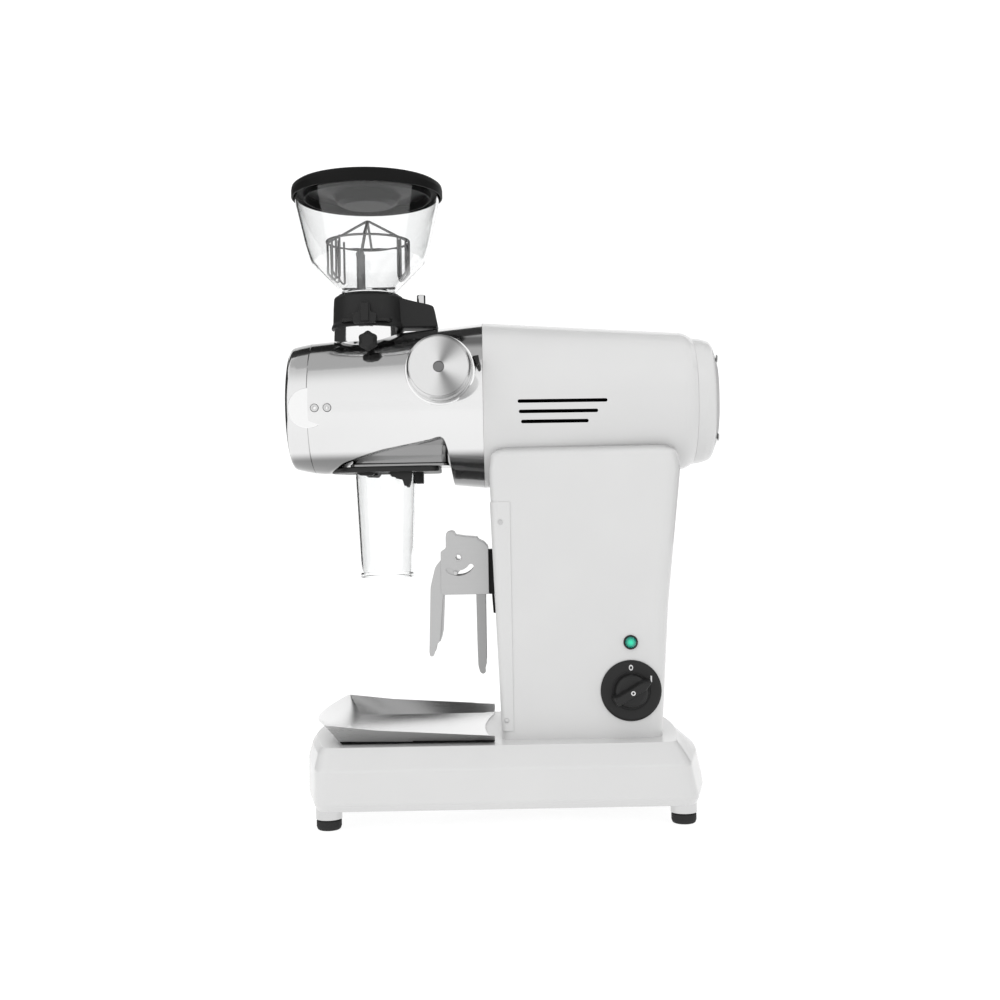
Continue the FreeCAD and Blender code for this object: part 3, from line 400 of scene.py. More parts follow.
def paintFinish():
    made = Finish("whitePaint", {"Coat Weight": 0.35, "Coat Roughness": 0.06, "IOR": 1.5})
    cloud = made.noise(14, detail=3)
    peel = made.noise(650)
    made.give(colour=made.blend(cloud, grey(0.58), grey(0.62, (1, 1, 0.995))),
              roughness=0.27 + cloud * 0.1, normal=made.bump(peel, 0.05, 0.12))
    return made


def polishedFinish(name, level, rough, axis="Y"):
    # Buffed metal: faint lines run across the axis that it was polished about.
    made = Finish(name, {"Metallic": 1.0})
    lines = made.noise(*[(1400 if letter == axis else 30) for letter in "XYZ"], detail=3)
    haze = made.noise(22, detail=2)
    made.give(colour=made.blend(haze, grey(level), grey(level * 0.93)),
              roughness=rough + haze * 0.05 + lines * 0.05, normal=made.bump(lines, 0.04, 0.03))
    return made


def barrelFinish():
    # Mirror-buffed metal. The bands along its crown and belly are painted stand-ins for dark reflections.
    made = Finish("barrelMetal", {"Metallic": 1.0})
    lines = made.noise(30, 1400, 30, detail=3)
    haze = made.noise(9, 5, 9, detail=2)
    height = made.place("Z")
    belly = made.step(height, 0.343, 0.352, 1.0, 0.0)
    crown = made.step(height, 0.446, 0.454)
    ridge = made.step(height, 0.458, 0.463, 1.0, 0.0)
    bright = made.blend(haze, grey(0.78), grey(0.70))
    made.give(colour=made.blend(belly * 0.85 + crown * ridge * 0.8, bright, grey(0.13)),
              roughness=0.06 + haze * 0.07 + lines * 0.04, normal=made.bump(lines, 0.04, 0.03))
    return made


def turnedFinish(name, level, rough, centre, wedge):
    # A face turned on a lathe about X: fine rings, and two painted wedges that stand in for its highlights.
    made = Finish(name, {"Metallic": 1.0})
    lines = made.rings(centre, "X", 4200)
    haze = made.noise(30)
    height = made.add("ShaderNodeMath", {"operation": "ABSOLUTE"}, {0: made.place("Z") - centre[2] * mm})
    turn = made.add("ShaderNodeMath", {"operation": "ARCTAN2"},
                    {0: height, 1: made.place("Y") - centre[1] * mm})
    swing = made.add("ShaderNodeMath", {"operation": "COSINE"}, {0: turn - 1.05})
    shade = swing * swing * swing * swing
    face = made.blend(lines, grey(level), grey(level * 0.9))
    made.give(colour=made.blend(shade * shade * wedge, face, grey(0.12)),
              roughness=rough + haze * 0.06 + lines * 0.06, normal=made.bump(lines, 0.1, 0.03))
    return made


def brushedFinish(name, level, rough, stretch):
    made = Finish(name, {"Metallic": 1.0})
    grain = made.noise(*stretch, detail=4)
    smudge = made.noise(16, detail=3)
    made.give(colour=made.blend(grain, grey(level * 0.92), grey(level)),
              roughness=rough + grain * 0.12 + smudge * 0.06, normal=made.bump(grain, 0.08, 0.04))
    return made


def plasticFinish(name, level, rough, texture=1500, strength=0.25, shine=0.5):
    # Moulded plastic: a spark-eroded tool leaves a fine even texture.
    made = Finish(name, {"IOR": 1.47, "Specular IOR Level": shine})
    sparkle = made.noise(texture, detail=2)
    flow = made.noise(35, detail=3)
    made.give(colour=made.blend(flow, grey(level), grey(level * 1.5)),
              roughness=rough + sparkle * 0.1 + flow * 0.08, normal=made.bump(sparkle, strength, 0.05))
    return made


def clearFinish(name, tint, rough):
    made = Finish(name, {"Transmission Weight": 1.0, "IOR": 1.46})
    flow = made.noise(25, 25, 8, detail=2)
    made.give(colour=made.blend(flow, grey(1.0, tint), grey(0.97, tint)), roughness=rough + flow * 0.02,
              normal=made.bump(flow, 0.03, 0.2))
    return made


def rubberFinish():
    made = Finish("rubber", {"Specular IOR Level": 0.3})
    grain = made.noise(900, detail=3)
    made.give(colour=made.blend(grain, grey(0.012), grey(0.03)), roughness=0.7 + grain * 0.2,
              normal=made.bump(grain, 0.4, 0.08))
    return made


def lensFinish():
    made = Finish("greenLens", {"Transmission Weight": 0.35, "IOR": 1.49, "Emission Strength": 0.5,
                                "Coat Weight": 0.6})
    offset = made.add("ShaderNodeVectorMath", {"operation": "DISTANCE"},
                      {0: made.place(), 1: tuple(middle("pilot_lens") * mm)}, out=1)
    glow = made.add("ShaderNodeValToRGB",
                    {"stops": [(0.0, (0.0, 0.95, 0.55, 1)), (0.7, (0.0, 0.16, 0.12, 1))]},
                    {"Fac": offset * (1 / (6 * mm))})
    sparkle = made.noise(420)
    made.give(colour=glow, roughness=0.08 + sparkle * 0.1, glow=glow)
    return made


def wireFinish():
    # Enamelled copper: turns of wire show as fine ridges.
    made = Finish("copperWindings", {"Metallic": 1.0, "Coat Weight": 0.5})
    ridges = made.noise(60, 1800, 60)
    made.give(colour=made.blend(ridges, (0.55, 0.2, 0.08, 1), (0.75, 0.33, 0.15, 1)),
              roughness=0.3 + ridges * 0.2, normal=made.bump(ridges, 0.3, 0.1))
    return made


paint = paintFinish()
polished = polishedFinish("polishedAluminium", 0.86, 0.035)
chrome = polishedFinish("chromePlate", 0.62, 0.03, "Z")
barrelMetal = barrelFinish()
knobMetal = turnedFinish("turnedKnob", 0.72, 0.2, middle("knob_cap"), 0.75)
stainless = brushedFinish("brushedStainless", 0.74, 0.2, (900, 30, 900))
trayMetal = brushedFinish("traySteel", 0.78, 0.13, (1100, 25, 300))
# a darker copy of the polished metal for the outlet block: painted shade under the barrel
blockMetalPaintedShade = polishedFinish("blockMetalPaintedShade", 0.3, 0.1)
wireSteel = brushedFinish("wireSteel", 0.2, 0.28, (300, 300, 900))
clampSteel = brushedFinish("clampSteel", 0.5, 0.3, (900, 30, 900))
# a darker copy of the clamp steel for the rear jaw: painted shade
clampSteelPaintedShade = brushedFinish("clampSteelPaintedShade", 0.36, 0.3, (900, 30, 900))
# a duller, darker copy of the tray steel for the outside of the walls; the darker tone is painted shade
trayOutsideDullPaintedShade = brushedFinish("trayOutsideDullPaintedShade", 0.62, 0.2, (1100, 25, 300))
trayUnder = brushedFinish("trayUnder", 0.03, 0.25, (1100, 25, 300))
plainSteel = brushedFinish("plainSteel", 0.6, 0.3, (300, 300, 300))
# the burrs' own dark steel; the same darker steel is also laid on the screws' hex sockets, the clamp's fold and
# the jaws' webs as painted shade
burrAndPaintedShadeSteel = brushedFinish("burrAndPaintedShadeMetal", 0.4, 0.3, (700, 700, 700))
black = plasticFinish("blackPlastic", 0.009, 0.42, shine=0.35)
blackSmooth = plasticFinish("blackSmooth", 0.009, 0.3, 900, 0.1, 0.35)
lidBlack = plasticFinish("lidBlack", 0.004, 0.4, 900, 0.1, 0.12)
shadowBlack = plasticFinish("ventShadow", 0.002, 0.9, shine=0.05)
greyPlug = plasticFinish("greyPlug", 0.12, 0.4)
palePlastic = plasticFinish("palePlastic", 0.55, 0.4)
markPaint = plasticFinish("dialMarks", 0.55, 0.5)
clear = clearFinish("clearPlastic", (0.985, 0.99, 0.99), 0.01)
rubber = rubberFinish()
lens = lensFinish()
copper = wireFinish()

slotFinish = {
    "white_paint": paint, "polished_aluminium": polished, "brushed_aluminium": knobMetal,
    "grey_plastic": greyPlug, "chrome": chrome, "stainless": stainless, "zinc_steel": plainSteel,
    "burr_steel": burrAndPaintedShadeSteel, "copper": copper, "black_plastic": black, "light_plastic": palePlastic,
    "clear_plastic": clear, "green_lens": lens, "rubber": rubber,
}
for row in frame["record"]["subparts"]:
    data = frame["nodes"][row["node"]].data
    data.materials.clear()
    data.materials.append(slotFinish[row["material_slot"]].material)
print("finishes made:", len(bpy.data.materials))

# ---- base ----

base = {
    # half width, front, rear, corner radius, front bow, rear bow, height, and the crease's softness
    "sections": [(111, -168, 168, 11, 24.6, 24.6, 21, 0), (115.4, -171.8, 171.8, 13.5, 25.6, 25.6, 19, 2),
                 (120, -174, 174, 16, 26.6, 26.6, 26, 5), (118.6, -174, 168, 16, 26.3, 26.3, 57, 5),
                 (107.5, -172, 161.5, 14, 23.8, 14, 70, 3.5), (102.6, -168.8, 158, 12, 22.8, 12, 75.5, 1.6),
                 (96, -162.2, 151.4, 9, 21.3, 11.2, 75.5, 0)],
    "sweep": 380,
}


def bowedRing(half, front, rear, radius, frontBow, rearBow, z):
    plan = [(-half, front, radius), (0, front - frontBow, base["sweep"]), (half, front, radius),
            (half, rear, radius), (0, rear + rearBow, base["sweep"]), (-half, rear, radius)]
    return level(plan, z, 10)


def makeBase():
    piece("baseCasting", loft(bowedRing, base["sections"], 5), paint, "root",
          ["base_casting"], 50)


makeBase()

foot = {"sleeve": 12.25, "pad": 11.6, "padHeight": 10, "top": 21}


def makeFeet():
    low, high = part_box("foot_pads")
    reachX = high.x / mm - foot["pad"]
    spots = [(side * reachX, y) for side in (-1, 1)
             for y in (low.y / mm + foot["pad"], high.y / mm - foot["pad"])]
    sleeves = [lathe("Z", (x, y, 0), [(foot["padHeight"], 0), (foot["padHeight"], foot["sleeve"], 0.5),
                                      (foot["top"], foot["sleeve"], 0.3), (foot["top"], 0)], 64, False)
               for x, y in spots]
    pads = [lathe("Z", (x, y, 0), [(0, 0), (0, 10.4, 2.2), (3.4, foot["pad"], 1), (8.6, foot["pad"], 0.4),
                                   (8.8, 10.9), (foot["padHeight"], 10.9), (foot["padHeight"], 0)], 64, False)
            for x, y in spots]
    piece("footSleeves", join(*sleeves), chrome, "root", ["foot_ferrules"])
    piece("footPads", join(*pads), rubber, "root", ["foot_pads"])


makeFeet()
print("base and feet made")

# ---- column and motor housing ----

column = {
    # half width, front, rear, height, edge softness
    "sections": [(77, -2, 149.5, 74.5, 0), (77, -6.5, 157.6, 200, 500), (77, -11.2, 171.6, 330, 20),
                 (76.2, -9, 169.5, 345.5, 7), (69, -2, 162, 351.5, 0)],
    "frontRadius": 8, "rearRadius": 15,
}


def columnRing(half, front, rear, z):
    plan = [(-half, front, column["frontRadius"]), (half, front, column["frontRadius"]),
            (half, rear, column["rearRadius"]), (-half, rear, column["rearRadius"])]
    return level(plan, z, 8)


def boxRing(halfX, halfZ, radius, y, centre):
    plan = rectangle(-halfX, centre - halfZ, halfX, centre + halfZ, radius)
    return [(x, y, z) for x, z, y in level(plan, y, 24)]


housing = {
    "shaft": 397.4,
    # half width, half height, corner radius, y, softness
    "sections": [(80, 80, 79.5, -15.6, 0), (82.3, 82.3, 82, -15.6, 0.8), (74.6, 67.4, 61, 182, 16),
                 (70.6, 62.6, 57, 189.5, 0), (66, 58, 54, 189.5, 0)],
    "cap": [(60, 52, 48, 189.5, 0), (70.2, 62.2, 56.6, 189.5, 0.8), (69, 61, 55, 199, 8),
            (66.5, 58.5, 52, 207, 9), (55, 47, 42, 212, 3), (38, 30, 27, 212, 0)],
    "vents": [(394.5, 17, 102), (384.8, 18, 93), (375.4, 20, 84)],
    "ventHeight": 3.3,
}


def makeHousing():
    piece("columnCasting", loft(columnRing, column["sections"], 7), paint, "root",
          ["body_casting"], 50)
    z = housing["shaft"]
    shell = build("motorHousing", loft(boxRing, housing["sections"], 8, z), paint.material)
    for side in (-1, 1):
        for height, start, end in housing["vents"]:
            half = housing["ventHeight"] / 2
            slot = rectangle(start, height - half, end, height + half, half * 0.97)
            carve(shell, prism("X", slot, *span(side, 66, 96), 0), finish=shadowBlack)
    settle(shell, "root", sharp=40)
    piece("rearCap", loft(boxRing, housing["cap"], 7, z), paint, "root", ["rear_cap"], 40)
    screws = [lathe("Y", (x * 46, 0, z + s * 38), [(211, 0), (211, 3.9), (212, 3.4, 0.3), (212, 1.8),
                                                    (211.2, 1.6), (211.2, 0)], 32, False)
              for x in (-1, 1) for s in (-1, 1)]
    piece("capScrews", join(*screws), plainSteel, "root", ["cap_screws"])


makeHousing()

cover = {"low": 84, "high": 300, "wrap": 8, "proud": 0.9, "footFront": -2, "headFront": -11.7}


def makeCover():
    rings = []
    for z in (cover["low"], cover["high"]):
        front = cover["footFront"] + (cover["headFront"] - cover["footFront"]) * (z - 75.5) / (344 - 75.5)
        out, inn = 77 + cover["proud"], 76.5
        plan = [(-out, cover["wrap"]), (-out, front - cover["proud"], 8.5), (out, front - cover["proud"], 8.5),
                (out, cover["wrap"]), (inn, cover["wrap"]), (inn, front + 0.5, 7.5), (-inn, front + 0.5, 7.5),
                (-inn, cover["wrap"])]
        rings.append(level(plan, z, 8))
    piece("frontCover", soften(skin(rings), 0.35), paint, "root", ["column_cover"])
    screws = []
    for side in (-1, 1):
        for y, z in ((1.5, 94), (-1.5, 281)):
            profile = [(side * 76, 0), (side * 76, 2.3), (side * 78.5, 2.3, 0.5), (side * 78.9, 1.2),
                       (side * 78.2, 1.1), (side * 78.2, 0)]
            screws.append(lathe("X", (0, y, z), profile, 24, False))
    piece("coverScrews", join(*screws), plainSteel, "root", ["cover_screws"])


makeCover()
print("column, housing and covers made")

# ---- grinding chamber ----

barrel = {
    "front": -183.2, "rear": -15.7, "frontRadius": 65, "rearRadius": 82.3, "shaft": 397.4,
    # the underside is scooped out: (y, height under the shaft axis)
    "scoop": [(-176, -68.5), (-167.3, -65), (-152.1, -57.3), (-131.4, -51.6), (-113.5, -46.9), (-98, -43.7),
              (-80.7, -40.3), (-65.8, -37.4), (-60.3, -35.6), (-55.5, -35.2), (-52.4, -38), (-50.2, -46.4),
              (-47.8, -57.7), (-46.4, -78), (-45, -92)],
    "edge": 2.6,
    "screwRanks": (-176.8, -164.7), "screwHeight": -4.4, "pocket": 4.6,
}


def scoopAt(y):
    ranks = [p[0] for p in barrel["scoop"]]
    return float(np.interp(y, ranks, [p[1] for p in barrel["scoop"]], -130, -92))


def barrelRadius(y):
    t = (y - barrel["front"]) / (barrel["rear"] - barrel["front"])
    return barrel["frontRadius"] + (barrel["rearRadius"] - barrel["frontRadius"]) * t


def softLeast(a, b, k):
    lap = max(k - abs(a - b), 0)
    return min(a, b) - lap * lap / (4 * k)


def makeBarrel():
    ranks = list(np.linspace(barrel["front"], -66, 74)) + list(np.linspace(-65, -42, 70))
    ranks += list(np.linspace(-40, barrel["rear"], 14))
    # where the points lie between straight down and the scoop's edge, and from there to the top
    under = [0, 0.15, 0.3, 0.45, 0.6, 0.72, 0.82, 0.88, 0.92, 0.95, 0.975, 1]
    over = [0.008, 0.018, 0.03, 0.045, 0.07] + list(np.linspace(0.1, 1, 66))
    rings = []
    for y in ranks:
        radius = barrelRadius(y)
        # the scoop's line is smoothed along the barrel
        level = sum(scoopAt(y + d) for d in (-2.4, -1.2, 0, 1.2, 2.4)) / 5
        edge = max(math.acos(min(1, -level / radius)), 0.12)
        half = [edge * share for share in under]
        half += [edge + (math.pi - edge) * share for share in over]
        ring = []
        for turn in half + [-turn for turn in half[-2:0:-1]]:
            flat = -level / math.cos(turn) if math.cos(turn) > 0.05 else 999
            reach = softLeast(radius, flat, barrel["edge"])
            ring.append((reach * math.sin(turn), y, barrel["shaft"] - reach * math.cos(turn)))
        rings.append(ring)
    z = barrel["shaft"]
    lead = [(x * 0.985, y - 0.01, (height - z) * 0.985 + z) for x, y, height in rings[0]]
    shell = build("grindingBarrel", skin([lead] + rings), barrelMetal.material)
    pockets = []
    for side in (-1, 1):
        for y in barrel["screwRanks"]:
            spot = (0, y, z + barrel["screwHeight"])
            pockets.append(drum("X", spot, *span(side, 62.6, 75), barrel["pocket"], 40))
    seat = lathe("Z", (0, -129, 0), [(455, 0), (455, 34.4), (480, 36), (480, 0)], 96, False)
    # room inside for the burr and its carrier to slide
    room = drum("Y", (0, 0, z), -98, -74, 47.6, 96)
    carve(shell, *pockets, seat, room)
    settle(shell, "root", ["grinding_chamber"], 28)


makeBarrel()

outletBlock = {
    "half": 41, "front": -147, "rear": -50, "corner": 12,
    # half width, height, softness: the sides are crowned and flare into the barrel
    "sections": [(39.8, 336.8, 0), (41, 336.8, 0.9), (41, 339, 0.6), (39, 340.2, 1), (37.4, 347.8, 5),
                 (38.8, 355.8, 6), (47, 366, 0)],
}


def blockRing(half, z):
    b = outletBlock
    front, rear = b["front"] - half + b["half"], b["rear"] + (half - b["half"]) * 0.4
    plan = [(-half, front, b["corner"]), (half, front, b["corner"]), (half, rear, b["corner"] * 0.6),
            (-half, rear, b["corner"] * 0.6)]
    return level(plan, z, 8)


def makeOutletBlock():
    # the block takes the darker copy of the polished metal, a painted shade
    piece("outletBlock", loft(blockRing, outletBlock["sections"], 5), blockMetalPaintedShade, "root",
          (), 50)


makeOutletBlock()

knob = {"face": 110, "base": 80, "radius": 29.7, "rim": 31.3, "boss": 33.4, "grooves": (27.2, 5.2, 58)}


def makeKnobBoss():
    centre = middle("adjust_knob")
    profile = [(30, 0), (30, knob["boss"] + 1.4), (74, knob["boss"] + 0.2, 3), (80, knob["boss"] - 0.2, 0.8),
               (80, 8), (79, 8), (79, 0)]
    piece("knobBoss", lathe("X", (0, centre.y, centre.z), profile, 128, False, 4), polished, "root")
    # the small fixed pointer between the knob and the flange
    pointer = [(-24.6, 437.6), (-19, 438.4), (-18.6, 431), (-20.5, 428.6), (-22.4, 433.2)]
    piece("dialPointer", prism("X", pointer, 68, 84, 0.4), black, "root")


makeKnobBoss()


def makeKnob():
    centre = middle("adjust_knob")
    place = (0, centre.y, centre.z)
    grooves = []
    # the face dishes inward a little and carries the tool's fine rings
    wide, narrow, count = knob["grooves"]
    for k in range(count + 1):
        radius = wide - (wide - narrow) * k / count
        ripple = 0.035 if k % 2 else 0
        grooves.append((knob["face"] - 0.7 - 0.6 * (1 - radius / wide) + ripple, radius))
    profile = [(knob["base"] + 0.6, 0), (knob["base"] + 0.6, knob["rim"], 0.9),
               (knob["base"] + 5, knob["rim"], 0.9), (knob["base"] + 5.8, knob["radius"] + 0.5, 0.3),
               (knob["face"] - 2.2, knob["radius"], 0.8), (knob["face"], knob["radius"] - 2, 0.5)]
    profile += grooves + [(knob["face"] - 2.8, 4.8), (knob["face"] - 2.8, 0)]
    piece("grindKnob", lathe("X", place, profile, 160, False, 4), knobMetal, "adjuster",
          ["adjust_knob"], 24)
    plug = [(100, 0), (100, 4.7), (knob["face"] - 1.75, 4.7, 0.4), (knob["face"] - 1.65, 0)]
    piece("knobPlug", lathe("X", place, plug, 48, False), greyPlug, "adjuster", ["knob_cap"])


makeKnob()

frontCap = {"screwCircle": 19.5, "flat": 62.5}


def makeFrontCap():
    z = barrel["shaft"]
    screwZ = z + barrel["screwHeight"]
    spot = (0, barrel["front"], screwZ)
    profile = [(-178, 0), (-178, 64.2), (-183.9, 64.2), (-184.6, 64.9, 0.3), (-196, 62.6, 60),
               (-205.2, 60.4, 6), (-210.2, 34, 150), (-212, 0)]
    cap = build("frontCap", lathe("Y", (0, 0, z), profile, 200, False, 8), barrelMetal.material)
    for side in (-1, 1):
        carve(cap, drum("X", spot, *span(side, frontCap["flat"], 75), frontCap["screwCircle"], 96))
    settle(cap, "root", ["front_cap"], 26)
    # the screws' flat runs on in the barrel's own metal
    for side, label in ((-1, "Left"), (1, "Right")):
        low, high = span(side, 55, frontCap["flat"] + 0.35)
        pad = lathe("X", spot, [(low, 0), (low, 19.3), (high, 19.3, 0.4), (high, 0)], 96, False)
        piece("screwFlat" + label, pad, polished, "root")
    screws = []
    for side in (-1, 1):
        for y in barrel["screwRanks"]:
            hexagon = [(1.7 * math.cos(math.radians(60 * k)), 1.7 * math.sin(math.radians(60 * k)))
                       for k in range(6)]
            head = [(60, 0), (60, 4.1), (63.6, 4.1), (64.6, 3.5, 0.5), (64.6, 0)]
            if side < 0:
                head = [(-x, r, *rest) for x, r, *rest in head]
            screw = build("screw", lathe("X", (0, y, screwZ), head, 40, False), chrome.material)
            outline = [(y + u, screwZ + v) for u, v in hexagon]
            # the hex socket is lined with the darker steel: painted shade in the recess
            carve(screw, prism("X", outline, *span(side, 62.8, 66), 0), finish=burrAndPaintedShadeSteel)
            screws.append(screw)
    settle(gather("chamberScrews", screws), "root", ["chamber_screws"], 30)


makeFrontCap()
print("grinding chamber and knob made")

# ---- neck, collar and gate ----

throat = {"y": -129, "neckTop": 475.5, "collarTop": 510, "collarRadius": 35.5, "bore": 27, "armEnd": 70,
          "gate": 479}


def makeNeck():
    profile = [(450, 22), (450, 39), (456.5, 38.4, 3), (460.5, 35.8, 5), (475.5, 35.2, 0.3), (475.5, 24)]
    piece("hopperNeck", lathe("Z", (0, throat["y"], 0), profile, 160), polished, "root",
          ["hopper_neck"], 35)


def makeCollar():
    y, bore, wide = throat["y"], throat["bore"], throat["collarRadius"]
    top, low = throat["collarTop"], throat["neckTop"]
    profile = [(low, bore), (low, wide + 2.4, 0.8), (low + 2.6, wide + 2, 2), (low + 6, wide + 0.5, 6),
               (top - 14, wide, 20), (top - 2.5, wide - 0.8, 4), (top - 0.4, wide - 6, 2), (top, bore + 4, 1),
               (top, bore, 0.6)]
    ring = build("hopperCollar", lathe("Z", (0, y, 0), profile, 144, True, 6), black.material)
    slot = prism("Z", rectangle(-60, y - 24.5, 60, y + 24.5), 478.8, 482.3, 0)
    carve(ring, slot)
    settle(ring, "root", ["hopper_collar"], 35)
    # the arm that carries the collar's bolt
    side = [(24, low + 0.2), (throat["armEnd"] - 0.6, low, 2), (throat["armEnd"] - 4.6, top - 13.4, 4),
            (throat["armEnd"] - 10, top - 11.4, 8), (50, top - 9.2, 30), (38, top - 6, 14), (26, top - 2, 4),
            (20, top - 2)]
    arm = prism("X", [(y + p[0], *p[1:]) for p in side], -15, 15, 2.2, 5, 4)
    piece("collarArm", arm, black, "root", (), 40)
    bolt = [(494, 0), (494, 3.2), (501, 3.2), (501, 4.4, 0.4), (509.8, 4.4, 0.8), (509.8, 2.4), (507, 2.2),
            (507, 0)]
    piece("collarBolt", lathe("Z", (0, y + 52.5, 0), bolt, 48, False), chrome, "root",
          ["collar_bolt"])


def makeGate():
    y, z = throat["y"], throat["gate"]
    plan = [(-28, y - 24, 6), (40.4, y - 24, 3), (40.4, y + 24, 3), (-28, y + 24, 6)]
    plate = prism("Z", plan, z, z + 2.9, 0.4)
    grip = [(-12, z - 2.4, 2), (10.5, z - 2.4, 2), (11.5, z + 7, 3), (5.4, z + 9, 1.2), (5, z + 18.6, 1.6),
            (-5.6, z + 18.6, 1.6), (-6, z + 9, 1.2), (-12.4, z + 7, 3)]
    tab = prism("X", [(y + p[0], *p[1:]) for p in grip], 38.8, 44.6, 1.0, 5, 3)
    rib = prism("X", rectangle(y - 4.4, z - 1, y + 3.8, z + 17, 1), 43, 46.2, 0.8, 4, 3)
    piece("gateShutter", join(plate, tab, rib), black, "gate", ["gate_shutter"])


def makeLock():
    y, z = -125, 457

    def lobe(along, radius, turn):
        # six hollows round the grip, none on its stem
        return radius * (0.935 - 0.065 * math.cos(6 * turn)) if radius > 5 else radius

    profile = [(36, 0), (36, 3.9), (51.5, 3.9, 0.5), (52, 7.6, 1), (54, 9.4, 1.2), (60, 9.8, 2.4), (64.4, 6, 2),
               (65, 0)]
    piece("lockKnob", lathe("X", (0, y, z), profile, 96, False, 5, lobe), black, "thumbscrew",
          ["lock_thumbscrew"])


makeNeck()
makeCollar()
makeGate()
makeLock()
print("neck, collar and gate made")

# ---- hopper, lid and guard ----

hopper = {
    "y": -129, "wall": 2.2,
    # (height, outer radius, softness) from the spigot up
    "bowl": [(484, 26.6, 0), (512.5, 26.6, 2.5), (537.5, 51.5, 7), (544, 57.4, 11), (561, 62.6, 60),
             (600, 71.4, 60), (611.5, 72.9, 0)],
}


def makeHopper():
    outer = hopper["bowl"]
    wall, (rimTop, rimRadius, _) = hopper["wall"], outer[-1]
    # the cone part is a little thicker, so its inner line sits higher
    inner = [(z + (0.9 if 500 < z < 560 else 0), r - wall, turn) for z, r, turn in reversed(outer)]
    profile = outer[:-1] + [(rimTop, rimRadius, 0.9), (rimTop, rimRadius - wall, 0.9)] + inner[1:]
    piece("hopperBowl", lathe("Z", (0, hopper["y"], 0), profile, 160, True, 8), clear, "hopper_body",
          ["hopper"], 35)


lid = {"radius": 75.6, "skirt": 607.5, "top": 622}


def makeLid():
    wide, top = lid["radius"], lid["top"]
    profile = [(top, 0), (top - 0.1, wide - 14, 20), (top - 0.5, wide - 5, 4), (top - 3.4, wide - 0.8, 3),
               (top - 7.5, wide, 3), (lid["skirt"] + 0.6, wide, 0.5), (lid["skirt"], wide - 0.5, 0.3),
               (lid["skirt"], wide - 1.8, 0.3), (612.2, wide - 1.9, 0.6), (612.2, 63.8, 0.5), (606, 63.6, 0.4),
               (606, 61.7, 0.4), (614, 61.5, 1.5), (613.6, 44, 3), (611, 34, 3), (603, 30, 3), (600, 24, 2.5),
               (600, 0)]
    piece("hopperLid", lathe("Z", (0, hopper["y"], 0), profile, 160, False, 7), lidBlack, "lid",
          ["hopper_lid"], 30)


guard = {"wire": 1.2, "radius": 41, "ring": 563.6, "apex": 585.6, "inner": (32.5, 522), "outer": (41, 532),
         "loops": (70, 90, 110, 234, 252, 288, 306), "post": -7.4}


def spoke(radius, degrees, z):
    turn = math.radians(degrees)
    return (radius * math.cos(turn), hopper["y"] + radius * math.sin(turn), z)


def makeGuard():
    g = guard
    parts = [tube([spoke(g["radius"], 360 * k / 72, g["ring"]) for k in range(72)], g["wire"], True)]
    for first, last in ((0, 180), (90, 270)):
        parts.append(tube([spoke(g["radius"], first, g["ring"]), ((0, hopper["y"], g["apex"]), 5),
                           spoke(g["radius"], last, g["ring"])], g["wire"], fine=10))
    # loops drop from the roof and follow the cone of the hopper at their feet
    for at in g["loops"]:
        roof = g["apex"] - (g["apex"] - g["ring"]) * g["inner"][0] / g["radius"]
        path = [spoke(g["inner"][0], at, roof), (spoke(g["inner"][0], at, g["inner"][1]), 3),
                (spoke(g["outer"][0] - 0.5, at, g["outer"][1]), 3), spoke(g["outer"][0], at, g["ring"])]
        parts.append(tube(path, g["wire"] * 0.9, fine=8))
    piece("guardWire", join(*parts), wireSteel, "hopper_body", ["finger_guard"], 60)
    y = hopper["y"] + g["post"]
    outline = [(y - 3.6, 517.6), (y + 3.6, 517.6), (y + 3.6, 553, 1.5), (y + 2.4, 556.4, 1),
               (y - 1, 556.8, 1), (y - 4.8, 553.6, 1), (y - 4.8, 550.6, 1), (y - 3.6, 551)]
    blade = prism("X", outline, -0.9, 0.9, 0.25)
    strut = tube([(0, y + 1, 553), ((0, y + 2, 560), 8), (0, hopper["y"] - 0.6, 584)], 1.5, fine=8)
    bar = tube([(0, hopper["y"] - 26.6, 517.6), (0, hopper["y"] + 26.6, 517.6)], 1.2)
    edges = [tube([(0.6, y + side * 3.4, 518), (0.6, y + side * 3.4, 552)], 0.9) for side in (-1, 1)]
    piece("guardPost", join(blade, strut, bar, *edges), wireSteel, "hopper_body",
          ["guard_post"], 40)


makeHopper()
makeLid()
makeGuard()
print("hopper, lid and guard made")

# ---- spout ----

spout = {"y": -115, "top": 335.6, "bottom": 227.6, "mouth": 30.6, "tip": 25.8, "wall": 1.9}


def makeSpout():
    s = spout
    profile = [(s["bottom"], s["tip"] - s["wall"]), (s["bottom"], s["tip"] + 0.7, 0.8),
               (s["bottom"] + 3.4, s["tip"] + 0.7, 0.7), (s["bottom"] + 4.6, s["tip"], 0.8),
               (s["top"], s["mouth"], 0.5), (s["top"], s["mouth"] - s["wall"], 0.5)]
    piece("spoutTube", lathe("Z", (0, s["y"], 0), profile, 128, True, 5), clear, "spout",
          ["spout_tube"], 35)


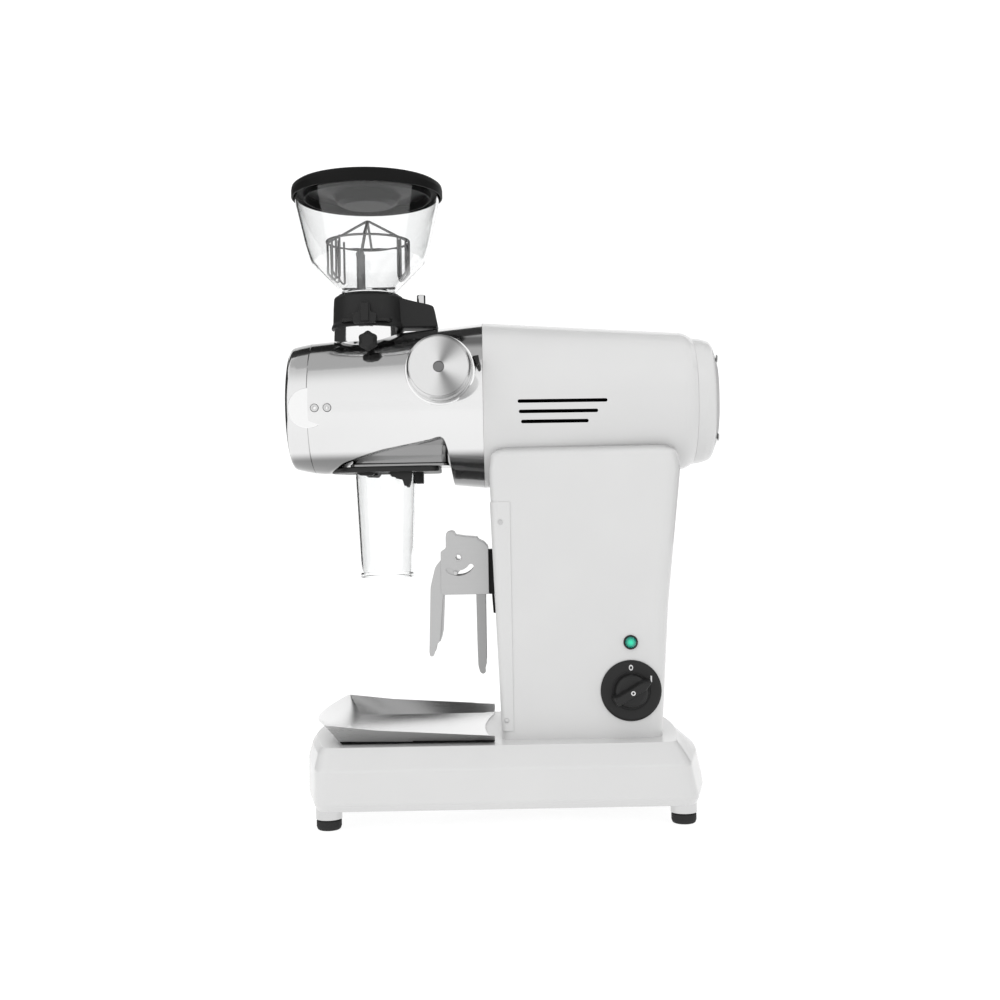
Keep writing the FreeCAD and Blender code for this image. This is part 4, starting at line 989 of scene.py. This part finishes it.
def makeOutletPlate():
    y = spout["y"]
    plan = [(-41, y - 34, 30), (0, y - 57, 22), (41, y - 34, 30), (43, y + 40, 20), (41, y + 55, 10),
            (-41, y + 55, 10), (-43, y + 40, 20)]
    plate = build("outletPlate", prism("Z", plan, 331.5, 336.9, 1.6, 6, 3), blackSmooth.material)
    hole = lathe("Z", (0, y, 0), [(325, 0), (325, 31.6), (336.2, 31.6), (336.2, 26), (345, 26), (345, 0)], 96,
                 False)
    carve(plate, hole)
    settle(plate, "root", ["outlet_plate"], 30)
    # spring clips that grip the tube, one pair on each side
    clips = []
    for side in (-1, 1):
        low, high = span(side, 30.5, 35.5)
        near = [(y + 6, 333), (y + 29, 333), (y + 28, 323, 2), (y + 25.5, 317.6, 1.5), (y + 21, 317.6, 1.5),
                (y + 19, 324, 2), (y + 14, 326, 2), (y + 8, 327, 2)]
        clips.append(prism("X", near, low, high, 0.6, 4))
        ramp = [(y - 28, 333), (y - 6, 333), (y - 10, 328, 3), (y - 22, 328.6, 2)]
        clips.append(prism("X", ramp, low, high, 0.6, 4))
    tail = [(-14, y + 30), (14, y + 30), (10, y + 38, 3), (-10, y + 38, 3)]
    clips.append(prism("Z", tail, 320.5, 333, 0.8, 4))
    piece("outletClips", join(*clips), black, "root")


makeSpout()
makeOutletPlate()
print("spout made")

# ---- bag clamp ----

clamp = {"half": 24, "gauge": 1.5, "bore": 3.5, "pivot": (-43.3, 246.5), "slotRadius": 15.5, "slotHalf": 2.6,
         "slotTurns": (-128, -36)}


def slotOutline(grow=0.0):
    y, z = clamp["pivot"]
    first, last = (math.radians(a) for a in clamp["slotTurns"])
    half, reach = clamp["slotHalf"] + grow, clamp["slotRadius"]

    def arc(cy, cz, radius, start, end, steps):
        return [(cy + radius * math.cos(start + (end - start) * k / steps),
                 cz + radius * math.sin(start + (end - start) * k / steps)) for k in range(steps + 1)]

    outline = arc(y, z, reach + half, first, last, 20)
    outline += arc(y + reach * math.cos(last), z + reach * math.sin(last), half, last, last + math.pi, 8)[1:]
    outline += arc(y, z, reach - half, last, first, 20)[1:]
    outline += arc(y + reach * math.cos(first), z + reach * math.sin(first), half, first + math.pi,
                   first + 2 * math.pi, 8)[1:-1]
    return outline


def makeClamp():
    half, gauge = clamp["half"], clamp["gauge"]
    y, z = clamp["pivot"]
    cheek = [(-13.5, 210, 1), (-13.5, 256), (-17.5, 260.5, 8), (-23, 263.3, 4), (-24, 265.6, 1.5),
             (-36, 266.6, 12), (-46, 268.4, 2), (-47, 271.2, 1.2), (-50, 272.6, 2.5), (-54.4, 271.6, 2.4),
             (-55.2, 267, 2), (-55.2, 256, 3), (-60.5, 252.6, 3), (-60.5, 210, 3)]
    plates = []
    for side in (-1, 1):
        low, high = span(side, half - gauge, half)
        plate = build("cheek", prism("X", cheek, low, high, 0.35, 5, 2), clampSteel.material)
        bore = drum("X", (0, y, z), low - 1, high + 1, clamp["bore"], 40)
        carve(plate, prism("X", slotOutline(), low - 1, high + 1, 0), bore)
        plates.append(plate)
    web = prism("Y", rectangle(-half + 1, 210, half - 1, 256), -15, -13.5, 0.3)
    plates.append(build("web", web, clampSteel.material))
    # the top is folded over: a bowed sheet with a rolled lip at its front
    topLine = [(-14, 255.4), (-17.8, 259.8, 8), (-23.4, 262.4, 4), (-24.4, 264.8, 1.5), (-36, 265.7, 12),
               (-46.4, 267.4, 2), (-47.4, 270.2, 1.2), (-50, 271.5, 2.5), (-53.6, 270.6, 2.4), (-54.2, 266, 2),
               (-51.5, 263.8, 2)]
    top = roundPath(corners(topLine), False, 6)
    rings = [[(-half + 0.3, p[0], p[1] + 1.9), (half - 0.3, p[0], p[1] + 1.9), (half - 0.3, p[0], p[1] - 0.2),
              (-half + 0.3, p[0], p[1] - 0.2)] for p in top]
    # the fold takes the darker steel, a painted shade along the clamp's top edge
    piece("clampFold", skin(rings), burrAndPaintedShadeSteel, "root")
    settle(gather("clampBracket", plates), "root", ["clamp_bracket"], 30)
    eyelet = lathe("X", (0, y, z), [(-25, 2.6), (-25, 3.5, 0.3), (25, 3.5, 0.3), (25, 2.6)], 48)
    piece("clampPivot", eyelet, plainSteel, "root", ["clamp_pivot"])
    pin = middle("clamp_guide_pin")
    rod = lathe("X", (0, pin.y, pin.z), [(-25, 0), (-25, 2, 0.4), (25, 2, 0.4), (25, 0)], 32, False)
    piece("clampPin", rod, plainSteel, "front_jaw", ["clamp_guide_pin"])


def makeJaw(name, outline, inner, webLine, finish, body, node):
    # two cheeks with a pressed web between them, toward the other jaw
    low, high = inner
    plates = [prism("X", outline, *span(side, low, high), 0.4, 6, 2) for side in (-1, 1)]
    cheeks = build(name, join(*plates), finish.material)
    carve(cheeks, drum("X", (0, *clamp["pivot"]), -30, 30, clamp["bore"], 40))
    settle(cheeks, body, [node], 30)
    line = roundPath(corners(webLine), False, 5)
    rings = [[(-high + 0.5, p[0], p[1]), (high - 0.5, p[0], p[1]), (high - 0.5, p[0] + 1.2, p[1]),
              (-high + 0.5, p[0] + 1.2, p[1])] for p in line]
    # the web takes the darker steel: painted shade between the cheeks, where the near cheek ends
    piece(name + "Web", skin(rings), burrAndPaintedShadeSteel, body)


def makeJaws():
    front = [(-38, 251, 4), (-38, 238, 5), (-57.4, 214, 7), (-59.6, 205, 20), (-61.8, 172, 12),
             (-63.4, 163, 5), (-66.4, 160.5, 2.2), (-67.6, 153.6, 3), (-69, 149.6, 2.6), (-72.4, 149.4, 2.4),
             (-73.2, 154, 4), (-71, 218, 30), (-66, 238, 16), (-54, 251.4, 8)]
    frontWeb = [(-59.4, 211), (-59.8, 203), (-61.4, 172, 8), (-63.4, 164)]
    makeJaw("clampFrontJaw", front, (20.9, 22.1), frontWeb, clampSteel, "front_jaw", "clamp_front_jaw")
    rear = [(-26.4, 252, 1), (-25.7, 160), (-25.2, 140, 10), (-23.6, 133.4, 4), (-20.6, 131.1, 3.4),
            (-17.8, 133.4, 2.6), (-18.2, 138.4, 1), (-16.8, 142, 2), (-16.5, 252, 1)]
    rearWeb = [(-26, 250), (-25.5, 160), (-24.9, 141)]
    # the rear jaw's cheeks take the darker copy of the clamp steel, a painted shade
    makeJaw("clampRearJaw", rear, (21.2, 22.4), rearWeb, clampSteelPaintedShade, "root", "clamp_rear_jaw")


def makeClampMount():
    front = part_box("clamp_mount")[0].y / mm
    plan = [(front, 209.5, 0.6), (-6, 209.5), (-8.5, 253.8), (front, 253.8, 0.6)]
    block = prism("X", plan, -13.8, 13.8, 0.6)
    strip = prism("X", [(-9.4, 190, 0.4), (-7.2, 190), (-8.2, 209.6), (-10.7, 209.6)], -6, 6, 0.4)
    piece("clampMount", join(block, strip), black, "root", ["clamp_mount"])


makeClamp()
makeJaws()
makeClampMount()
print("clamp made")

# ---- grounds tray ----

tray = {
    # half width, front, bow, height of the floor and of the rim; the rim falls toward the rear
    "floorHalf": 86, "floorFront": -153, "floorBow": 7, "floor": 75.9, "rimHalf": 103, "rimFront": -167,
    "rimBow": 17, "gauge": 1.2, "rear": -10, "rearDip": 9, "foot": 2.4,
    "count": 40, "steps": 14, "across": 30,
    "rim": [(-190, 91.2), (-168.5, 96.9), (-120, 91.2), (-10, 84.2)],
}


def trayRim(y):
    return float(np.interp(y, [p[0] for p in tray["rim"]], [p[1] for p in tray["rim"]]))


def trayLine(half, front, bow):
    # points round the three walls: rear right, front, rear left
    shares = [k / tray["count"] for k in range(tray["count"] + 1)]
    right = [(half, tray["rear"] + (front - tray["rear"]) * s) for s in shares]
    nose = [(x, front - bow * (1 - (x / half) ** 2)) for x in (half - 2 * half * s for s in shares[1:-1])]
    return right + nose + [(-half, y) for x, y in reversed(right)]


def trayShell(mesh, gauge):
    # the walls row by row from the floor up, then the floor; returns the walls and the floor's rear edge
    t = tray
    low = trayLine(t["floorHalf"], t["floorFront"], t["floorBow"])
    high = trayLine(t["rimHalf"], t["rimFront"], t["rimBow"])
    shrink, floor, middleY = 1 - gauge / 110, t["floor"] + gauge, -80
    rows = []
    for k in range(t["steps"] + 1):
        s = k / t["steps"]
        rows.append([])
        for (ax, ay), (bx, by) in zip(low, high):
            y = (ay + (by - ay) * s - middleY) * shrink + middleY
            point = Vector(((ax + (bx - ax) * s) * shrink, y, floor + (trayRim(by) - floor) * s))
            rows[-1].append(mesh.verts.new(point * mm))
    for first, second in zip(rows, rows[1:]):
        quads(mesh, first, second)
    count, across = t["count"], t["across"]
    lines = []
    for k in range(count):
        share = k / count
        right, left = rows[0][k], rows[0][-1 - k]
        line = [right]
        for j in range(1, across):
            x = (right.co.x + (left.co.x - right.co.x) * j / across) / mm
            curve = 1 - (x / t["floorHalf"]) ** 2
            y = right.co.y / mm - curve * (t["rearDip"] * (1 - share) + t["floorBow"] * share)
            line.append(mesh.verts.new(Vector((x, y, floor)) * mm))
        lines.append(line + [left])
    lines.append([rows[0][count + round(count * j / across)] for j in range(across + 1)])
    for first, second in zip(lines, lines[1:]):
        quads(mesh, first, second)
    return rows, lines[0]


def makeTray():
    mesh = bmesh.new()
    outside, outsideRear = trayShell(mesh, 0)
    inside, insideRear = trayShell(mesh, tray["gauge"])
    quads(mesh, outside[-1], inside[-1])
    quads(mesh, outsideRear, insideRear)
    for end in (0, -1):
        quads(mesh, [row[end] for row in outside], [row[end] for row in inside])
    clean(mesh)
    whole = build("groundsTray", mesh, trayMetal.material)
    whole.data.materials.append(trayOutsideDullPaintedShade.material)
    whole.data.materials.append(trayUnder.material)
    # the outside is given a duller finish whose darker tone is a painted shade on the down-facing walls, and a
    # black one along the foot that stands in for a shadow
    for face in whole.data.polygons:
        if face.normal.z < -0.1:
            face.material_index = 2 if face.center.z < (tray["floor"] + tray["foot"]) * mm else 1
    settle(whole, "tray", ["grounds_tray"], 24)


makeTray()
print("tray made")

# ---- switch and pilot light ----

switch = {"face": 77, "radius": 28.75, "hub": 16.4, "marks": 21.8, "turn": 30}


def makeSwitch():
    centre = middle("switch_plate")
    place = (switch["face"], centre.y, centre.z)
    wide, hub = switch["radius"], switch["hub"]
    profile = [(0, 0), (0, wide, 0.2), (1.6, wide, 0.9), (2.9, wide - 2.2, 0.6), (3, hub + 1.8),
               (2.4, hub + 1.6), (2.4, 0)]
    piece("switchPlate", lathe("X", place, profile, 128, False), black, "root",
          ["switch_plate"])
    # the marks: a ring for off and a bar for on, inlaid in the plate
    y, z = centre.y, centre.z
    reach, top = switch["marks"], z + switch["marks"]
    ring = lathe("X", (0, y, top), [(79.6, 1.15), (79.6, 2.0, 0.1), (80.06, 2.0, 0.1), (80.06, 1.15)], 32)
    for vert in ring.verts:
        vert.co.z = top * mm + (vert.co.z - top * mm) * 1.35
    turn = math.radians(switch["turn"])
    cy, cz = y + reach * math.cos(turn), z + reach * math.sin(turn)
    bar = prism("X", rectangle(cy - 0.7, cz - 3, cy + 0.7, cz + 3), 79.6, 80.06, 0.05, 1, 1)
    piece("switchMarks", join(ring, bar), markPaint, "root")


def makeSwitchKnob():
    centre = middle("switch_spindle")
    place = (switch["face"], centre.y, centre.z)
    profile = [(2.6, 0), (2.6, 16.4, 0.4), (5, 16.2, 0.8), (9.6, 15, 1.6), (11, 12, 2), (11.4, 0)]
    hub = lathe("X", place, profile, 96, False)
    # the wing runs through the centre and points at the mark it is set to
    turn = math.radians(switch["turn"])
    along = Vector((0, math.cos(turn), math.sin(turn)))
    across = Vector((0, -math.sin(turn), math.cos(turn)))
    sections = [  # height, tail reach, tip reach, half width at tail and middle
        (3.2, -19.6, 20.8, 6.0), (12, -19.0, 20.2, 5.0), (19.6, -17.6, 19.4, 3.9), (20.8, -16.6, 18.4, 3.2)]
    rings = []
    for x, tail, tip, half in sections:
        plan = [(tail, -half, 2.4), (tip - 7, -half, 3), (tip, -0.6, 0.6), (tip, 0.6, 0.6), (tip - 7, half, 3),
                (tail, half, 2.4)]
        rings.append([Vector(place) + Vector((x, 0, 0)) + along * u + across * v
                      for u, v in roundPath(corners(plan), True, 6)])
    wing = soften(skin(rings), 0.5, 3, 25)
    dot = lathe("X", (switch["face"], centre.y, centre.z), [(20.3, 1.1), (20.3, 2.1, 0.2), (21.1, 2.1, 0.2),
                                                            (21.1, 1.1, 0.2)], 40)
    piece("switchKnob", join(hub, wing), blackSmooth, "switch", ["switch_knob"], 28)
    piece("switchKnobRing", dot, markPaint, "switch")


def makePilot():
    centre = middle("pilot_lens")
    place = (switch["face"], centre.y, centre.z)
    bezel = [(0, 5.3), (0, 6.8, 0.2), (1.2, 6.8, 0.5), (2.1, 6.0, 0.4), (2.1, 5.3, 0.2)]
    piece("pilotBezel", lathe("X", place, bezel, 64), black, "root", ["pilot_bezel"])
    # a faceted jewel: three rows of flat faces, each row turned by half a step
    mesh = bmesh.new()
    rows = []
    for x, radius, shift in ((0.4, 5.25, 0), (2.3, 5.2, 0), (3.5, 3.9, 0.5), (4.3, 2.0, 1.0)):
        rows.append([mesh.verts.new(((place[0] + x) * mm,
                                     (place[1] + radius * math.cos(math.tau * (k + shift) / 12)) * mm,
                                     (place[2] + radius * math.sin(math.tau * (k + shift) / 12)) * mm))
                     for k in range(12)])
    for i, (first, second) in enumerate(zip(rows, rows[1:])):
        for k in range(12):
            if i == 0:
                mesh.faces.new((first[k], first[(k + 1) % 12], second[(k + 1) % 12], second[k]))
            else:
                mesh.faces.new((first[k], first[(k + 1) % 12], second[k]))
                mesh.faces.new((first[(k + 1) % 12], second[(k + 1) % 12], second[k]))
    mesh.faces.new(rows[-1])
    mesh.faces.new(rows[0])
    piece("pilotJewel", clean(mesh), lens, "root", ["pilot_lens"], 5)


makeSwitch()
makeSwitchKnob()
makePilot()
print("switch and pilot light made")

# ---- stage ----

stage = {"floor": 2.6, "curve": 0.9, "wall": 6.5, "glow": 0.9, "fade": (2.4, 6.0)}


def sweepFinish(name, level, glow):
    made = Finish(name, {"Roughness": 0.9, "Specular IOR Level": 0.1, "Emission Strength": glow})
    fibre = made.noise(60)
    # the wall dims toward its top
    dim = made.step(made.place("Z"), *stage["fade"])
    made.give(colour=made.blend(fibre, grey(level), grey(level * 0.97)),
              glow=made.blend(dim, grey(1.0), grey(0.62)))
    return made


def makeStage():
    # a pale floor that curves up all round into a low wall
    profile = [(stage["floor"], 0.0)]
    for k in range(1, 13):
        turn = math.radians(90 * k / 12)
        reach = stage["floor"] + stage["curve"] * math.sin(turn)
        profile.append((reach, stage["curve"] * (1 - math.cos(turn))))
    profile.append((stage["floor"] + stage["curve"], stage["wall"]))
    mesh = bmesh.new()
    rows = [[mesh.verts.new((r * math.cos(math.tau * k / 96), r * math.sin(math.tau * k / 96), z - 0.0002))
             for k in range(96)] for r, z in profile]
    for first, second in zip(rows, rows[1:]):
        quads(mesh, first, second, True)
    mesh.faces.new(rows[0])
    clean(mesh)
    floor = build("paperSweep", mesh, sweepFinish("paperSweep", 0.22, stage["glow"]).material)
    floor.data.polygons.foreach_set("use_smooth", [True] * len(floor.data.polygons))


def makeCard(name, *spots):
    # a dark card that only reflections and clear pieces see
    mesh = bmesh.new()
    mesh.faces.new([mesh.verts.new(spot) for spot in spots])
    card = build(name, mesh, sweepFinish(name, 0.03, 0.0).material)
    card.visible_camera = card.visible_diffuse = card.visible_shadow = False


def makeLight(name, place, target, width, height, power):
    lamp = bpy.data.lights.new(name, "AREA")
    lamp.shape = "RECTANGLE"
    lamp.size, lamp.size_y = width, height
    lamp.energy = power
    holder = bpy.data.objects.new(name, lamp)
    holder.location = place
    holder.visible_glossy = False
    holder.rotation_euler = (Vector(target) - Vector(place)).to_track_quat("-Z", "Y").to_euler()
    bpy.context.scene.collection.objects.link(holder)


def makeLights():
    world = bpy.data.worlds.new("studio")
    bpy.context.scene.world = world
    world.use_nodes = True
    world.node_tree.nodes["Background"].inputs["Color"].default_value = (1, 1, 1, 1)
    world.node_tree.nodes["Background"].inputs["Strength"].default_value = 0.5
    aim = (0, 0, 0.3)
    makeLight("overhead", (0.5, -0.2, 2.4), aim, 1.6, 1.6, 16)
    makeLight("key", (1.6, -1.5, 1.5), aim, 1.0, 1.2, 5)
    makeCard("overheadCard", (-1.3, -1.6, 1.6), (-0.42, -1.6, 1.6), (-0.42, 1.2, 1.6), (-1.3, 1.2, 1.6))
    for name, y in (("frontCard", -1.3), ("rearCard", 1.3)):
        makeCard(name, (-2.5, y, 0.12), (0.3, y, 0.12), (0.3, y, 1.3), (-2.5, y, 1.3))


def makeCamera():
    data = bpy.data.cameras.new("camera")
    data.lens, data.sensor_width = 46.54, 36
    camera = bpy.data.objects.new("camera", data)
    bpy.context.scene.collection.objects.link(camera)
    # a level side view with a slight turn, rise and roll
    turn, rise, roll = 0.004, 0.012, -0.018
    ahead = Vector((-math.cos(turn) * math.cos(rise), math.sin(turn) * math.cos(rise), math.sin(rise)))
    right = Vector((math.sin(turn), math.cos(turn), 0))
    up = right.cross(ahead)
    tilted = right * math.cos(roll) + up * math.sin(roll)
    upright = up * math.cos(roll) - right * math.sin(roll)
    camera.matrix_world = Matrix.Translation((1.2971, -0.0061, 0.2871)) @ Matrix(
        (tilted, upright, -ahead)).transposed().to_4x4()
    bpy.context.scene.camera = camera


makeStage()
makeLights()
makeCamera()
bpy.context.scene.view_settings.view_transform = "Standard"
print("stage, lights and camera made")
